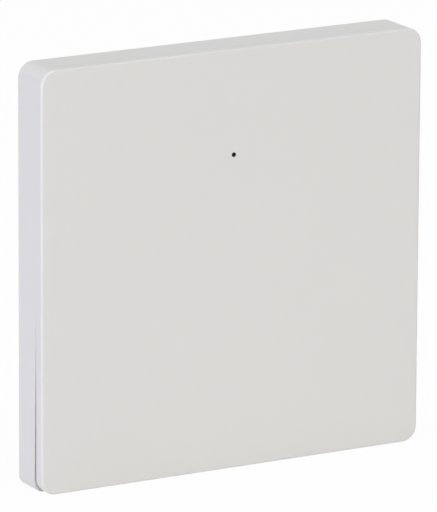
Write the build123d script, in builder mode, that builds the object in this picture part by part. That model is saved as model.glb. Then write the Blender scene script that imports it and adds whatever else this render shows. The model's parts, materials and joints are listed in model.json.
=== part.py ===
from build123d import *
import os
from math import hypot, radians, sin

# Smart wall light switch: a rocking key plate on a moulded frame, with an in-wall module behind.
# X is to the right as seen from the room, Y goes into the wall, Z is up, all in millimetres.
# The origin is the middle of the two fixing slots on the wall plane, so the room side has negative Y.

os.makedirs("parts", exist_ok=True)

# Driving dimensions of the plate that shows
plate_size = 86.0
plate_depth = 9.8
corner_radius = 3.2
edge_fillet = 0.5

# Key plate, the shallow tray that is pressed
key_side = 2.4
key_skin = 1.5
key_wall = 1.2
key_rib_width = 1.0
key_rib_height = 1.0
key_rib_end_gap = 0.8
key_rib_columns = (-22.0, -8.0, 8.0, 22.0)
key_rib_rows = (-13.0, 6.0, 14.0, 31.0)
pinhole_radius = 0.5
pinhole_z = 21.6

# How the key rocks: the upper rims close face to face and the lower ones open in a wedge
fulcrum_z = -5.0
fulcrum_setback = 1.2
wedge_gap = 0.86
key_travel = 1.1
pin_radius = 1.0
pin_clearance = 0.05
pin_end_gap = 0.05
pin_chamfer = 0.3
lug_thickness = 1.2
lug_radius = 1.6
lug_play = 0.3
socket_width = 2.4
socket_wall = 1.1
socket_mouth = 1.7
socket_rise = 0.8
socket_to_lip = 2.0
bed_overrun = 1.0

# Moulded frame on the wall
frame_low_radius = 2.0
floor_thickness = 1.6
rear_recess = 0.4
rear_rim = 4.0
slot_pad_margin = 1.5
lip_clearance = 0.3
lip_wall = 0.8
lip_reach = 0.05
window_width = 34.0
window_height = 50.0
window_radius = 2.0
frame_rib_width = 1.2
frame_rib_height = 3.0
frame_rib_rows = (-26.0, -14.0, 14.0, 26.0)
frame_rib_gap = 1.2
slot_spacing = 60.3
slot_length = 6.5
slot_width = 4.2

# Return spring and the pads that end the travel
spring_radius = 2.0
spring_wire_radius = 0.25
spring_wire_sides = 6
spring_turns = 3
spring_end_gap = 0.05
spring_post_radius = 1.4
spring_post_height = 1.5
spring_cup_clearance = 0.3
spring_cup_wall = 0.6
spring_cup_height = 0.8
pad_x = 15.0
pad_inset = 6.0
pad_side = 3.0
pad_thickness = 1.0
pad_post_side = 3.6
pad_gap = 0.1

# Control board, its cover and what sits on its front
control_thickness = 1.2
control_clearance = 0.3
cover_headroom = 1.2
cover_top = 1.2
cover_wall = 1.2
cover_radius = 2.0
cover_edge_chamfer = 0.5
cover_reach = 1.0
tact_z = -21.0
tact_size = 6.0
tact_height = 2.1
tact_opening_gap = 0.5
plunger_radius = 1.7
plunger_clearance = 0.08
plunger_proud = 0.9
plunger_depth = 1.0
plunger_room = 0.45
pusher_radius = 1.6
pusher_gap = 0.05
led_length = 2.0
led_width = 1.25
led_height = 0.8
guide_radius = 1.0
guide_fit = 0.05
guide_collar_radius = 1.7
guide_collar = 0.6
guide_to_led = 0.15
guide_to_key = 0.3
chip_size = 5.0
chip_height = 0.9
chip_x = -12.0
chip_z = 4.0

# Radio module on the rear of the control board
radio_x = 9.0
radio_z = -6.0
radio_width = 12.0
radio_height = 16.0
radio_thickness = 0.8
shield_width = 10.0
shield_height = 10.5
shield_rise = 2.2
shield_to_edge = 0.8

# Screws that hold the cover, board, frame and rear housing together
screw_radius = 1.0
screw_pass_clearance = 0.15
screw_head_radius = 1.9
screw_head_sink = 0.1
screw_engagement = 6.5
screw_thread_clearance = 0.05
pilot_spare = 1.5
recess_width = 0.5
recess_span = 2.0
recess_depth = 0.6
cover_boss_side = 4.4

# Rear housing in the wall box
module_width = 50.0
module_height = 58.0
module_depth = 28.0
module_wall = 1.8
module_radius = 2.5
module_edge_chamfer = 0.8
post_neck_radius = 2.2
post_shoulder = 0.8
sleeve_clearance = 0.1
sleeve_wall = 0.9
sleeve_sides = 6
wall_gap = 0.2
vent_count = 5
vent_pitch = 4.0
vent_width = 1.2
vent_length = 9.0
vent_y = 18.0
label_width = 26.0
label_height = 14.0
label_recess = 0.3
label_z = 12.0

# Power board and the link between the boards
power_thickness = 1.6
board_notch = 1.6
link_count = 6
link_pitch = 2.54
link_pin_side = 0.64
link_hole_clearance = 0.1
link_pin_proud = 0.3
link_header_height = 2.5
link_x = 4.0
link_above_block = 23.2

# Terminal block with a rising cage clamp in each pole
pole_count = 3
pole_pitch = 10.0
block_end = 0.8
entry_length = 4.9
entry_width = 5.4
entry_height = 4.4
wire_space = 3.0
clamp_travel = 2.5
clamp_play = 0.1
cage_length = 6.0
cage_inner_width = 5.0
cage_side = 0.7
cage_top = 1.0
cage_base = 1.5
terminal_screw_radius = 1.5
terminal_screw_clearance = 0.05
terminal_head_radius = 1.9
terminal_head_height = 1.6
terminal_head_sink = 1.4
terminal_head_clearance = 0.2
terminal_web = 0.4
web_hole_clearance = 0.1
terminal_tip = 1.2
terminal_tip_gap = 0.3
terminal_slot_width = 0.7
terminal_slot_depth = 0.8
driver_hole_radius = 1.7
block_roof = 0.6
bar_thickness = 1.0
bar_side_gap = 0.2
bar_fit = 0.05
bar_tail_width = 1.4
bar_tail_proud = 0.5
tail_clearance = 0.1

# Relay on the power board
relay_x = -12.4
relay_above_block = 10.2
relay_width = 19.0
relay_height = 15.5
relay_rise = 14.8
relay_clearance = 0.8
relay_wall = 0.7
relay_base_thickness = 1.6
relay_base_fit = 0.1
yoke_thickness = 1.0
yoke_depth = 8.0
yoke_lift = 0.8
core_radius = 1.5
core_fit = 0.05
coil_length = 9.6
coil_radius = 4.0
bobbin_flange = 0.8
bobbin_flange_proud = 0.2
bobbin_wall = 0.6
armature_gap = 0.6
armature_thickness = 1.0
armature_depth = 7.0
armature_length = 9.5
contact_leaf_thickness = 0.2
contact_leaf_width = 6.0
contact_leaf_reach = 6.8
contact_leaf_lift = 2.5
contact_radius = 0.9
contact_thickness = 0.5
contact_gap = 0.45
contact_z = 5.7
contact_post_width = 1.6
contact_post_thickness = 0.4

# Other parts on the power board
transformer_x = 11.5
transformer_above_block = 9.2
transformer_foot = 1.4
core_width = 13.0
core_height = 10.5
core_depth = 5.0
core_leg = 2.0
core_center_leg = 3.0
winding_gap = 0.1
winding_build = 2.7
capacitor_x = 16.0
capacitor_above_block = 23.2
capacitor_radius = 4.0
capacitor_rise = 12.5
capacitor_groove = 0.4
groove_lift = 1.2
capacitor_chamfer = 0.4
filter_x = -9.5
filter_above_block = 23.2
filter_width = 13.0
filter_depth = 5.0
filter_rise = 11.0
filter_chamfer = 0.4
fuse_x = 3.0
fuse_above_block = 30.2
fuse_width = 8.4
fuse_depth = 4.3
fuse_rise = 8.0
fuse_chamfer = 1.0
varistor_x = -9.5
varistor_above_block = 31.2
varistor_radius = 3.5
varistor_thickness = 3.4
varistor_lift = 0.6
varistor_lead_radius = 0.3
varistor_lead_spacing = 5.0
rectifier_x = 10.0
rectifier_above_bars = 2.9
rectifier_width = 4.8
rectifier_height = 3.8
rectifier_rise = 1.5
converter_x = 0.0
converter_above_bars = 2.9
converter_width = 5.0
converter_height = 4.0
converter_rise = 1.5

# Depths along Y worked out from the driving dimensions
half = plate_size / 2
front_y = -plate_depth
seam_y = front_y + key_side
key_inner_y = front_y + key_skin
lip_front_y = seam_y - lip_reach
fulcrum_y = seam_y + fulcrum_setback
seat_y = -rear_recess
floor_y = seat_y - floor_thickness
control_y = floor_y - control_thickness
cover_rear_y = control_y - cover_headroom
cover_front_y = cover_rear_y - cover_top
tact_front_y = control_y - tact_height
plunger_front_y = tact_front_y - plunger_proud
housing_inner_y = module_depth - module_wall
power_rear_y = housing_inner_y - relay_clearance - relay_rise
power_y = power_rear_y - power_thickness
sleeve_length = power_y - seat_y

# Outlines worked out from the driving dimensions
key_cavity = plate_size - 2 * key_wall
lip_outer = key_cavity - 2 * lip_clearance
lip_inner = lip_outer - 2 * lip_wall
key_cavity_radius = corner_radius - key_wall
lip_outer_radius = key_cavity_radius - lip_clearance
lip_inner_radius = lip_outer_radius - lip_wall
rear_opening = plate_size - 2 * rear_rim
socket_outer_x = lip_inner / 2 - socket_to_lip
socket_inner_x = socket_outer_x - socket_width
lug_outer_x = socket_inner_x - lug_play
lug_inner_x = lug_outer_x - lug_thickness
pin_length = lug_play + socket_width - pin_end_gap
pad_z = -half + pad_inset
cover_width = module_width
cover_height = module_height + 2 * cover_reach
spring_z = -(cover_height / 2 + lip_inner / 2) / 2
cover_cavity_width = cover_width - 2 * cover_wall
cover_cavity_height = cover_height - 2 * cover_wall
control_width = cover_cavity_width - 2 * control_clearance
control_height = cover_cavity_height - 2 * control_clearance
housing_cavity_width = module_width - 2 * module_wall
housing_cavity_height = module_height - 2 * module_wall
sleeve_inner_radius = post_neck_radius + sleeve_clearance
sleeve_outer_radius = sleeve_inner_radius + sleeve_wall
post_radius = post_neck_radius + post_shoulder
screw_x = housing_cavity_width / 2 - sleeve_outer_radius - wall_gap
screw_z = housing_cavity_height / 2 - sleeve_outer_radius - wall_gap
screw_pass_radius = screw_radius + screw_pass_clearance

# Heights in one pole of the terminal block, from its bottom face up
block_low = -housing_cavity_height / 2 + wall_gap
head_low = block_low + terminal_head_sink
head_high = head_low + terminal_head_height
cavity_low = head_high + clamp_play + terminal_web
cage_low = cavity_low + clamp_play + clamp_travel
bar_low = cage_low + cage_base + terminal_tip + terminal_tip_gap
bar_high = bar_low + bar_thickness
cage_high = bar_high + wire_space + cage_top
cavity_high = cage_high + clamp_play
block_high = cavity_high + block_roof
block_width = pole_count * pole_pitch + 2 * block_end
cavity_rear_y = module_depth - entry_length
cage_rear_y = cavity_rear_y - clamp_play
cage_front_y = cage_rear_y - cage_length
cage_y = (cage_rear_y + cage_front_y) / 2
cavity_front_y = cage_front_y - clamp_play
cage_width = cage_inner_width + 2 * cage_side
bar_width = cage_inner_width - 2 * bar_side_gap
wire_z = bar_high + wire_space / 2
poles = [(n - (pole_count - 1) / 2) * pole_pitch for n in range(pole_count)]

# Heights of the parts on the power board, which stand above the terminal block and its bars
link_z = block_high + link_above_block
relay_z = block_high + relay_above_block
transformer_z = block_high + transformer_above_block
capacitor_z = block_high + capacitor_above_block
filter_z = block_high + filter_above_block
fuse_z = block_high + fuse_above_block
varistor_z = block_high + varistor_above_block
rectifier_z = bar_high + rectifier_above_bars
converter_z = bar_high + converter_above_bars


# A drawing plane at depth y whose extrusions go towards the room
def facing_room(y):
    return Plane.XZ.offset(-y)


# Corners of the four screw places
def screw_places():
    return GridLocations(2 * screw_x, 2 * screw_z, 2, 2)


# Middles of the two slots for the wall screws
def slot_places():
    return Locations((-slot_spacing / 2, 0), (slot_spacing / 2, 0))


# Key plate: skin with soft edges, ribs, two lugs with pins, the pusher and the spring cup
with BuildPart() as key_plate:
    with BuildSketch(facing_room(seam_y)):
        RectangleRounded(plate_size, plate_size, corner_radius)
    extrude(amount=key_side)
    fillet(key_plate.faces().sort_by(Axis.Y)[0].edges(), edge_fillet)
    with BuildSketch(facing_room(seam_y)):
        RectangleRounded(key_cavity, key_cavity, key_cavity_radius)
    extrude(amount=seam_y - key_inner_y, mode=Mode.SUBTRACT)
    rib_span = lip_inner - 2 * key_rib_end_gap
    with BuildSketch(facing_room(key_inner_y + key_rib_height)):
        with Locations(*[(x, 0) for x in key_rib_columns]):
            Rectangle(key_rib_width, rib_span)
        with Locations(*[(0, z) for z in key_rib_rows]):
            Rectangle(rib_span, key_rib_width)
    extrude(amount=key_rib_height)
    for side in (-1, 1):
        with BuildSketch(Plane.YZ.offset(side * lug_inner_x)):
            with Locations((fulcrum_y, fulcrum_z)):
                Circle(lug_radius)
            with Locations(((key_inner_y + fulcrum_y) / 2, fulcrum_z)):
                Rectangle(fulcrum_y - key_inner_y, 2 * lug_radius)
        extrude(amount=side * lug_thickness)
        with BuildSketch(Plane.YZ.offset(side * lug_outer_x)):
            with Locations((fulcrum_y, fulcrum_z)):
                Circle(pin_radius)
        extrude(amount=side * pin_length)
    pin_ends = key_plate.faces().filter_by(
        lambda face: abs(abs(face.center().X) - lug_outer_x - pin_length) < pin_end_gap
    )
    chamfer(pin_ends.edges(), pin_chamfer)
    pusher_tip_y = plunger_front_y - pusher_gap
    with BuildSketch(facing_room(pusher_tip_y)):
        with Locations((0, tact_z)):
            Circle(pusher_radius)
    extrude(amount=pusher_tip_y - key_inner_y)
    cup_inner = spring_radius + spring_wire_radius + spring_cup_clearance
    with BuildSketch(facing_room(key_inner_y + spring_cup_height)):
        with Locations((0, spring_z)):
            Circle(cup_inner + spring_cup_wall)
            Circle(cup_inner, mode=Mode.SUBTRACT)
    extrude(amount=spring_cup_height)
    with BuildSketch(facing_room(key_inner_y)):
        with Locations((0, pinhole_z)):
            Circle(pinhole_radius)
    extrude(amount=key_skin, mode=Mode.SUBTRACT)
key_plate.part.label = "key_plate"
export_step(key_plate.part, "parts/key_plate.step")

# Base frame: rim with the sloping bed, dust lip, floor, window, slots, ribs, pin sockets and posts
with BuildPart() as base_frame:
    with BuildSketch(facing_room(0)) as frame_outline:
        Rectangle(plate_size, plate_size)
        fillet(frame_outline.vertices().group_by(Axis.Y)[-1], corner_radius)
        fillet(frame_outline.vertices().group_by(Axis.Y)[0], frame_low_radius)
    extrude(amount=-seam_y)
    with BuildSketch(Plane.YZ):
        with BuildLine():
            bed_drop = wedge_gap / (half + fulcrum_z)
            bed_end = half + bed_overrun
            Polyline(
                (seam_y, fulcrum_z),
                (seam_y + bed_drop * (bed_end + fulcrum_z), -bed_end),
                (seam_y - bed_overrun, -bed_end),
                (seam_y - bed_overrun, fulcrum_z),
                close=True,
            )
        make_face()
    extrude(amount=plate_size, both=True, mode=Mode.SUBTRACT)
    with BuildSketch(facing_room(0)):
        RectangleRounded(lip_outer, lip_outer, lip_outer_radius)
    extrude(amount=-lip_front_y)
    with BuildSketch(facing_room(floor_y)):
        RectangleRounded(lip_inner, lip_inner, lip_inner_radius)
    extrude(amount=floor_y - lip_front_y, mode=Mode.SUBTRACT)
    with BuildSketch(facing_room(floor_y)):
        rib_reach = (lip_inner - cover_width) / 2 - frame_rib_gap
        for side in (-1, 1):
            with Locations(*[(side * (lip_inner - rib_reach) / 2, z) for z in frame_rib_rows]):
                Rectangle(rib_reach, frame_rib_width)
        rib_drop = (lip_inner - cover_height) / 2 - frame_rib_gap
        for side in (-1, 1):
            with Locations(*[(x, side * (lip_inner - rib_drop) / 2) for x in key_rib_columns]):
                Rectangle(frame_rib_width, rib_drop)
    extrude(amount=frame_rib_height)
    with BuildSketch(facing_room(floor_y)):
        with Locations((0, spring_z)):
            Circle(spring_post_radius)
    extrude(amount=spring_post_height)
    pressed_y = key_inner_y + (fulcrum_z - pad_z) * sin(radians(key_travel))
    pad_front_y = pressed_y + pad_gap
    with BuildSketch(facing_room(floor_y)):
        with Locations((-pad_x, pad_z), (pad_x, pad_z)):
            Rectangle(pad_post_side, pad_post_side)
    extrude(amount=floor_y - pad_front_y - pad_thickness)
    socket_bore = pin_radius + pin_clearance
    socket_front_y = fulcrum_y - socket_rise
    for side in (-1, 1):
        with BuildSketch(Plane.YZ.offset(side * socket_inner_x)):
            with Locations(((socket_front_y + floor_y) / 2, fulcrum_z)):
                Rectangle(floor_y - socket_front_y, 2 * (socket_bore + socket_wall))
            with Locations((fulcrum_y, fulcrum_z)):
                Circle(socket_bore, mode=Mode.SUBTRACT)
            with Locations((fulcrum_y - socket_bore, fulcrum_z)):
                Rectangle(2 * socket_bore, socket_mouth, mode=Mode.SUBTRACT)
        extrude(amount=side * socket_width)
    with BuildSketch(facing_room(0)):
        Rectangle(rear_opening, rear_opening)
        with slot_places():
            Rectangle(
                slot_length + 2 * slot_pad_margin,
                slot_width + 2 * slot_pad_margin,
                mode=Mode.SUBTRACT,
            )
    extrude(amount=rear_recess, mode=Mode.SUBTRACT)
    with BuildSketch(facing_room(0)):
        RectangleRounded(window_width, window_height, window_radius)
        with slot_places():
            SlotOverall(slot_length, slot_width)
        with screw_places():
            Circle(screw_pass_radius)
    extrude(amount=-floor_y, mode=Mode.SUBTRACT)
base_frame.part.label = "base_frame"
export_step(base_frame.part, "parts/base_frame.step")

# Stop pads: two soft squares that quieten the end of the travel
with BuildPart() as stop_pads:
    with BuildSketch(facing_room(pad_front_y + pad_thickness)):
        with Locations((-pad_x, pad_z), (pad_x, pad_z)):
            Rectangle(pad_side, pad_side)
    extrude(amount=pad_thickness)
stop_pads.part.label = "stop_pads"
export_step(stop_pads.part, "parts/stop_pads.step")

# Return spring: half turns as tilted arcs, which meet with one tangent
with BuildPart() as return_spring:
    coil_rear_y = floor_y - spring_end_gap - spring_wire_radius
    coil_front_y = key_inner_y + spring_end_gap + spring_wire_radius
    half_rise = (coil_front_y - coil_rear_y) / (2 * spring_turns)
    bulge = hypot(spring_radius, half_rise / 2)
    with BuildLine() as coil:
        for turn in range(2 * spring_turns):
            side = 1 if turn % 2 == 0 else -1
            start_y = coil_rear_y + turn * half_rise
            ThreePointArc(
                (side * spring_radius, start_y, spring_z),
                (0, start_y + half_rise / 2, spring_z + side * bulge),
                (-side * spring_radius, start_y + half_rise, spring_z),
            )
    with BuildSketch(Plane(origin=coil.line @ 0, z_dir=coil.line % 0)):
        RegularPolygon(spring_wire_radius, spring_wire_sides)
    sweep(path=coil.line)
return_spring.part.label = "return_spring"
export_step(return_spring.part, "parts/return_spring.step")

# Mechanism cover over the control board, with a hole for the push button and one for the light guide
with BuildPart() as mechanism_cover:
    with BuildSketch(facing_room(floor_y)):
        RectangleRounded(cover_width, cover_height, cover_radius)
    extrude(amount=floor_y - cover_front_y)
    chamfer(mechanism_cover.faces().sort_by(Axis.Y)[0].edges(), cover_edge_chamfer)
    with BuildSketch(facing_room(floor_y)):
        RectangleRounded(cover_cavity_width, cover_cavity_height, cover_radius - cover_wall)
    extrude(amount=floor_y - cover_rear_y, mode=Mode.SUBTRACT)
    with BuildSketch(facing_room(control_y)):
        with screw_places():
            Rectangle(cover_boss_side, cover_boss_side)
            Circle(screw_pass_radius, mode=Mode.SUBTRACT)
    extrude(amount=cover_headroom)
    with Locations(facing_room(cover_front_y)):
        with screw_places():
            CounterSinkHole(screw_pass_radius, screw_head_radius + screw_pass_clearance)
    tact_opening = tact_size + 2 * tact_opening_gap
    with BuildSketch(facing_room(cover_rear_y)):
        with Locations((0, tact_z)):
            Rectangle(tact_opening, tact_opening)
        with Locations((0, pinhole_z)):
            Circle(guide_radius + guide_fit)
    extrude(amount=cover_top, mode=Mode.SUBTRACT)
mechanism_cover.part.label = "mechanism_cover"
export_step(mechanism_cover.part, "parts/mechanism_cover.step")

# Light guide: clear stem from the indicator lamp to the pinhole, with a collar on the cover
with BuildPart() as light_guide:
    stem_rear_y = control_y - led_height - guide_to_led
    stem_front_y = key_inner_y + guide_to_key
    with BuildSketch(facing_room(stem_rear_y)):
        with Locations((0, pinhole_z)):
            Circle(guide_radius)
    extrude(amount=stem_rear_y - stem_front_y)
    with BuildSketch(facing_room(cover_front_y)):
        with Locations((0, pinhole_z)):
            Circle(guide_collar_radius)
    extrude(amount=guide_collar)
light_guide.part.label = "light_guide"
export_step(light_guide.part, "parts/light_guide.step")


# Places of the pins that join the two boards
def link_places():
    return [(link_x + (n - (link_count - 1) / 2) * link_pitch, link_z) for n in range(link_count)]


# Control board with holes for the screws and the link pins
link_hole_side = link_pin_side + 2 * link_hole_clearance
with BuildPart() as control_board:
    with BuildSketch(facing_room(floor_y)):
        Rectangle(control_width, control_height)
        with screw_places():
            Circle(screw_pass_radius, mode=Mode.SUBTRACT)
        with Locations(*link_places()):
            Rectangle(link_hole_side, link_hole_side, mode=Mode.SUBTRACT)
    extrude(amount=control_thickness)
control_board.part.label = "control_board"
export_step(control_board.part, "parts/control_board.step")

# Push button under the key, in two pieces: the body and its plunger
with BuildPart() as tact_switch:
    with BuildSketch(facing_room(control_y)):
        with Locations((0, tact_z)):
            Rectangle(tact_size, tact_size)
    extrude(amount=tact_height)
    with BuildSketch(facing_room(tact_front_y)):
        with Locations((0, tact_z)):
            Circle(plunger_radius + plunger_clearance)
    extrude(amount=-(plunger_depth + plunger_room), mode=Mode.SUBTRACT)
tact_switch.part.label = "tact_switch"
export_step(tact_switch.part, "parts/tact_switch.step")

with BuildPart() as tact_plunger:
    with BuildSketch(facing_room(tact_front_y + plunger_depth)):
        with Locations((0, tact_z)):
            Circle(plunger_radius)
    extrude(amount=plunger_depth + plunger_proud)
tact_plunger.part.label = "tact_plunger"
export_step(tact_plunger.part, "parts/tact_plunger.step")


# Adds a plain block that stands on a board: its middle, sides and how far it rises to the room or rear
def block_on(board_y, x, z, width, height, rise):
    with BuildSketch(facing_room(board_y)) as outline:
        with Locations((x, z)):
            Rectangle(width, height)
    extrude(outline.sketch, amount=rise)


# Indicator lamp and processor on the front of the control board
with BuildPart() as status_led:
    block_on(control_y, 0, pinhole_z, led_length, led_width, led_height)
status_led.part.label = "status_led"
export_step(status_led.part, "parts/status_led.step")

with BuildPart() as processor:
    block_on(control_y, chip_x, chip_z, chip_size, chip_size, chip_height)
processor.part.label = "processor"
export_step(processor.part, "parts/processor.step")

# Radio module and its shield can on the rear of the control board
with BuildPart() as radio_board:
    block_on(floor_y, radio_x, radio_z, radio_width, radio_height, -radio_thickness)
radio_board.part.label = "radio_board"
export_step(radio_board.part, "parts/radio_board.step")

with BuildPart() as radio_shield:
    shield_z = radio_z - (radio_height - shield_height) / 2 + shield_to_edge
    with BuildSketch(facing_room(floor_y + radio_thickness)):
        with Locations((radio_x, shield_z)):
            Rectangle(shield_width, shield_height)
    extrude(amount=-shield_rise)
radio_shield.part.label = "radio_shield"
export_step(radio_shield.part, "parts/radio_shield.step")

# Link between the boards: header strip, socket strip and the pins through both
link_length = link_count * link_pitch
header_rear_y = floor_y + link_header_height


# Adds a strip of plastic from one depth to another, with a square hole for each pin
def link_strip(rear_y, strip_front_y):
    with BuildSketch(facing_room(rear_y)) as outline:
        with Locations((link_x, link_z)):
            Rectangle(link_length, link_pitch)
        with Locations(*link_places()):
            Rectangle(link_pin_side, link_pin_side, mode=Mode.SUBTRACT)
    extrude(outline.sketch, amount=rear_y - strip_front_y)


with BuildPart() as link_header:
    link_strip(header_rear_y, floor_y)
link_header.part.label = "link_header"
export_step(link_header.part, "parts/link_header.step")

with BuildPart() as link_socket:
    link_strip(power_y, header_rear_y)
link_socket.part.label = "link_socket"
export_step(link_socket.part, "parts/link_socket.step")

with BuildPart() as link_pins:
    pins_rear_y = power_rear_y + link_pin_proud
    pins_front_y = control_y - link_pin_proud
    with BuildSketch(facing_room(pins_rear_y)):
        with Locations(*link_places()):
            Rectangle(link_pin_side, link_pin_side)
    extrude(amount=pins_rear_y - pins_front_y)
link_pins.part.label = "link_pins"
export_step(link_pins.part, "parts/link_pins.step")

# Case screws: countersunk heads in the cover, shanks down to the posts of the rear housing
with BuildPart() as case_screws:
    head_front_y = cover_front_y + screw_head_sink
    head_height = screw_head_radius - screw_radius
    shank_length = seat_y + screw_engagement - head_front_y
    with Locations(facing_room(head_front_y)):
        with screw_places():
            Cylinder(screw_radius, shank_length, align=(Align.CENTER, Align.CENTER, Align.MAX))
            Cone(
                screw_radius,
                screw_head_radius,
                head_height,
                align=(Align.CENTER, Align.CENTER, Align.MAX),
            )
            for turn in (0, 90):
                Box(
                    recess_span,
                    recess_width,
                    recess_depth,
                    rotation=(0, 0, turn),
                    align=(Align.CENTER, Align.CENTER, Align.MAX),
                    mode=Mode.SUBTRACT,
                )
case_screws.part.label = "case_screws"
export_step(case_screws.part, "parts/case_screws.step")

# Rear housing: open box with four stepped posts, a cut-out for the terminals, vents and a label recess
with BuildPart() as rear_housing:
    with BuildSketch(facing_room(module_depth)):
        RectangleRounded(module_width, module_height, module_radius)
    extrude(amount=module_depth - seat_y)
    chamfer(rear_housing.faces().sort_by(Axis.Y)[-1].edges(), module_edge_chamfer)
    with BuildSketch(facing_room(housing_inner_y)):
        RectangleRounded(housing_cavity_width, housing_cavity_height, module_radius - module_wall)
    extrude(amount=housing_inner_y - seat_y, mode=Mode.SUBTRACT)
    with BuildSketch(facing_room(housing_inner_y)):
        with screw_places():
            Rectangle(2 * post_radius, 2 * post_radius)
    extrude(amount=housing_inner_y - power_rear_y)
    with BuildSketch(facing_room(power_rear_y)):
        with screw_places():
            Circle(post_neck_radius)
    extrude(amount=power_rear_y - seat_y)
    with BuildSketch(facing_room(seat_y)):
        with screw_places():
            Circle(screw_radius + screw_thread_clearance)
    extrude(amount=-(screw_engagement + pilot_spare), mode=Mode.SUBTRACT)
    with BuildSketch(facing_room(module_depth)):
        with Locations((0, (block_low + block_high) / 2)):
            Rectangle(block_width + 2 * wall_gap, block_high - block_low + 2 * wall_gap)
    extrude(amount=module_wall, mode=Mode.SUBTRACT)
    with BuildSketch(facing_room(module_depth)):
        with Locations((0, label_z)):
            Rectangle(label_width, label_height)
    extrude(amount=label_recess, mode=Mode.SUBTRACT)
    with BuildSketch(Plane.XY.offset(-module_height / 2)):
        with Locations(*[(x, cage_y) for x in poles]):
            Circle(driver_hole_radius)
    extrude(amount=module_wall, mode=Mode.SUBTRACT)
    with BuildSketch(Plane.XY.offset(module_height / 2 - module_wall)):
        with Locations((0, vent_y)):
            with GridLocations(vent_pitch, vent_length, vent_count, 1):
                Rectangle(vent_width, vent_length)
    extrude(amount=module_wall, mode=Mode.SUBTRACT)
rear_housing.part.label = "rear_housing"
export_step(rear_housing.part, "parts/rear_housing.step")

# Spacer sleeves that hold the power board on the shoulders of the posts
with BuildPart() as spacer_sleeves:
    with BuildSketch(facing_room(power_y)):
        with screw_places():
            RegularPolygon(sleeve_outer_radius, sleeve_sides)
            Circle(sleeve_inner_radius, mode=Mode.SUBTRACT)
    extrude(amount=sleeve_length)
spacer_sleeves.part.label = "spacer_sleeves"
export_step(spacer_sleeves.part, "parts/spacer_sleeves.step")

# Power board with holes for the posts, the link pins and the tails of the terminal bars
bar_z = (bar_low + bar_high) / 2
with BuildPart() as power_board:
    with BuildSketch(facing_room(power_rear_y)):
        board_width = housing_cavity_width - 2 * wall_gap
        board_height = housing_cavity_height - 2 * wall_gap
        Rectangle(board_width, board_height)
        with GridLocations(board_width, board_height, 2, 2):
            Rectangle(board_notch, board_notch, mode=Mode.SUBTRACT)
        with screw_places():
            Circle(sleeve_inner_radius, mode=Mode.SUBTRACT)
        with Locations(*link_places()):
            Rectangle(link_hole_side, link_hole_side, mode=Mode.SUBTRACT)
        with Locations(*[(x, bar_z) for x in poles]):
            Rectangle(
                bar_tail_width + 2 * tail_clearance,
                bar_thickness + 2 * tail_clearance,
                mode=Mode.SUBTRACT,
            )
    extrude(amount=power_thickness)
power_board.part.label = "power_board"
export_step(power_board.part, "parts/power_board.step")

# Terminal block: a cavity, a wire entry, a screw well and a slot for the bar in each pole
with BuildPart() as terminal_block:
    with BuildSketch(facing_room(module_depth)):
        with Locations((0, (block_low + block_high) / 2)):
            Rectangle(block_width, block_high - block_low)
    extrude(amount=module_depth - power_rear_y)
    with BuildSketch(facing_room(cavity_rear_y)):
        with Locations(*[(x, (cavity_low + cavity_high) / 2) for x in poles]):
            Rectangle(cage_width + 2 * clamp_play, cavity_high - cavity_low)
    extrude(amount=cavity_rear_y - cavity_front_y, mode=Mode.SUBTRACT)
    with BuildSketch(facing_room(module_depth)):
        with Locations(*[(x, wire_z) for x in poles]):
            Rectangle(entry_width, entry_height)
    extrude(amount=entry_length, mode=Mode.SUBTRACT)
    with BuildSketch(facing_room(cavity_front_y)):
        with Locations(*[(x, bar_z) for x in poles]):
            Rectangle(bar_width + 2 * bar_fit, bar_thickness + 2 * bar_fit)
    extrude(amount=cavity_front_y - power_rear_y, mode=Mode.SUBTRACT)
    with BuildSketch(Plane.XY.offset(block_low)):
        with Locations(*[(x, cage_y) for x in poles]):
            Circle(terminal_head_radius + terminal_head_clearance)
    extrude(amount=head_high + clamp_play - block_low, mode=Mode.SUBTRACT)
    with BuildSketch(Plane.XY.offset(head_high)):
        with Locations(*[(x, cage_y) for x in poles]):
            Circle(terminal_screw_radius + web_hole_clearance)
    extrude(amount=cavity_low - head_high, mode=Mode.SUBTRACT)
terminal_block.part.label = "terminal_block"
export_step(terminal_block.part, "parts/terminal_block.step")

# Terminal bars: the fixed conductor of each pole, with a tail soldered into the power board
with BuildPart() as terminal_bars:
    bar_end_y = cavity_rear_y - 2 * clamp_play
    with BuildSketch(facing_room(bar_end_y)):
        with Locations(*[(x, bar_z) for x in poles]):
            Rectangle(bar_width, bar_thickness)
    extrude(amount=bar_end_y - power_rear_y)
    with BuildSketch(facing_room(power_rear_y)):
        with Locations(*[(x, bar_z) for x in poles]):
            Rectangle(bar_tail_width, bar_thickness)
    extrude(amount=power_thickness + bar_tail_proud)
terminal_bars.part.label = "terminal_bars"
export_step(terminal_bars.part, "parts/terminal_bars.step")

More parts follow.
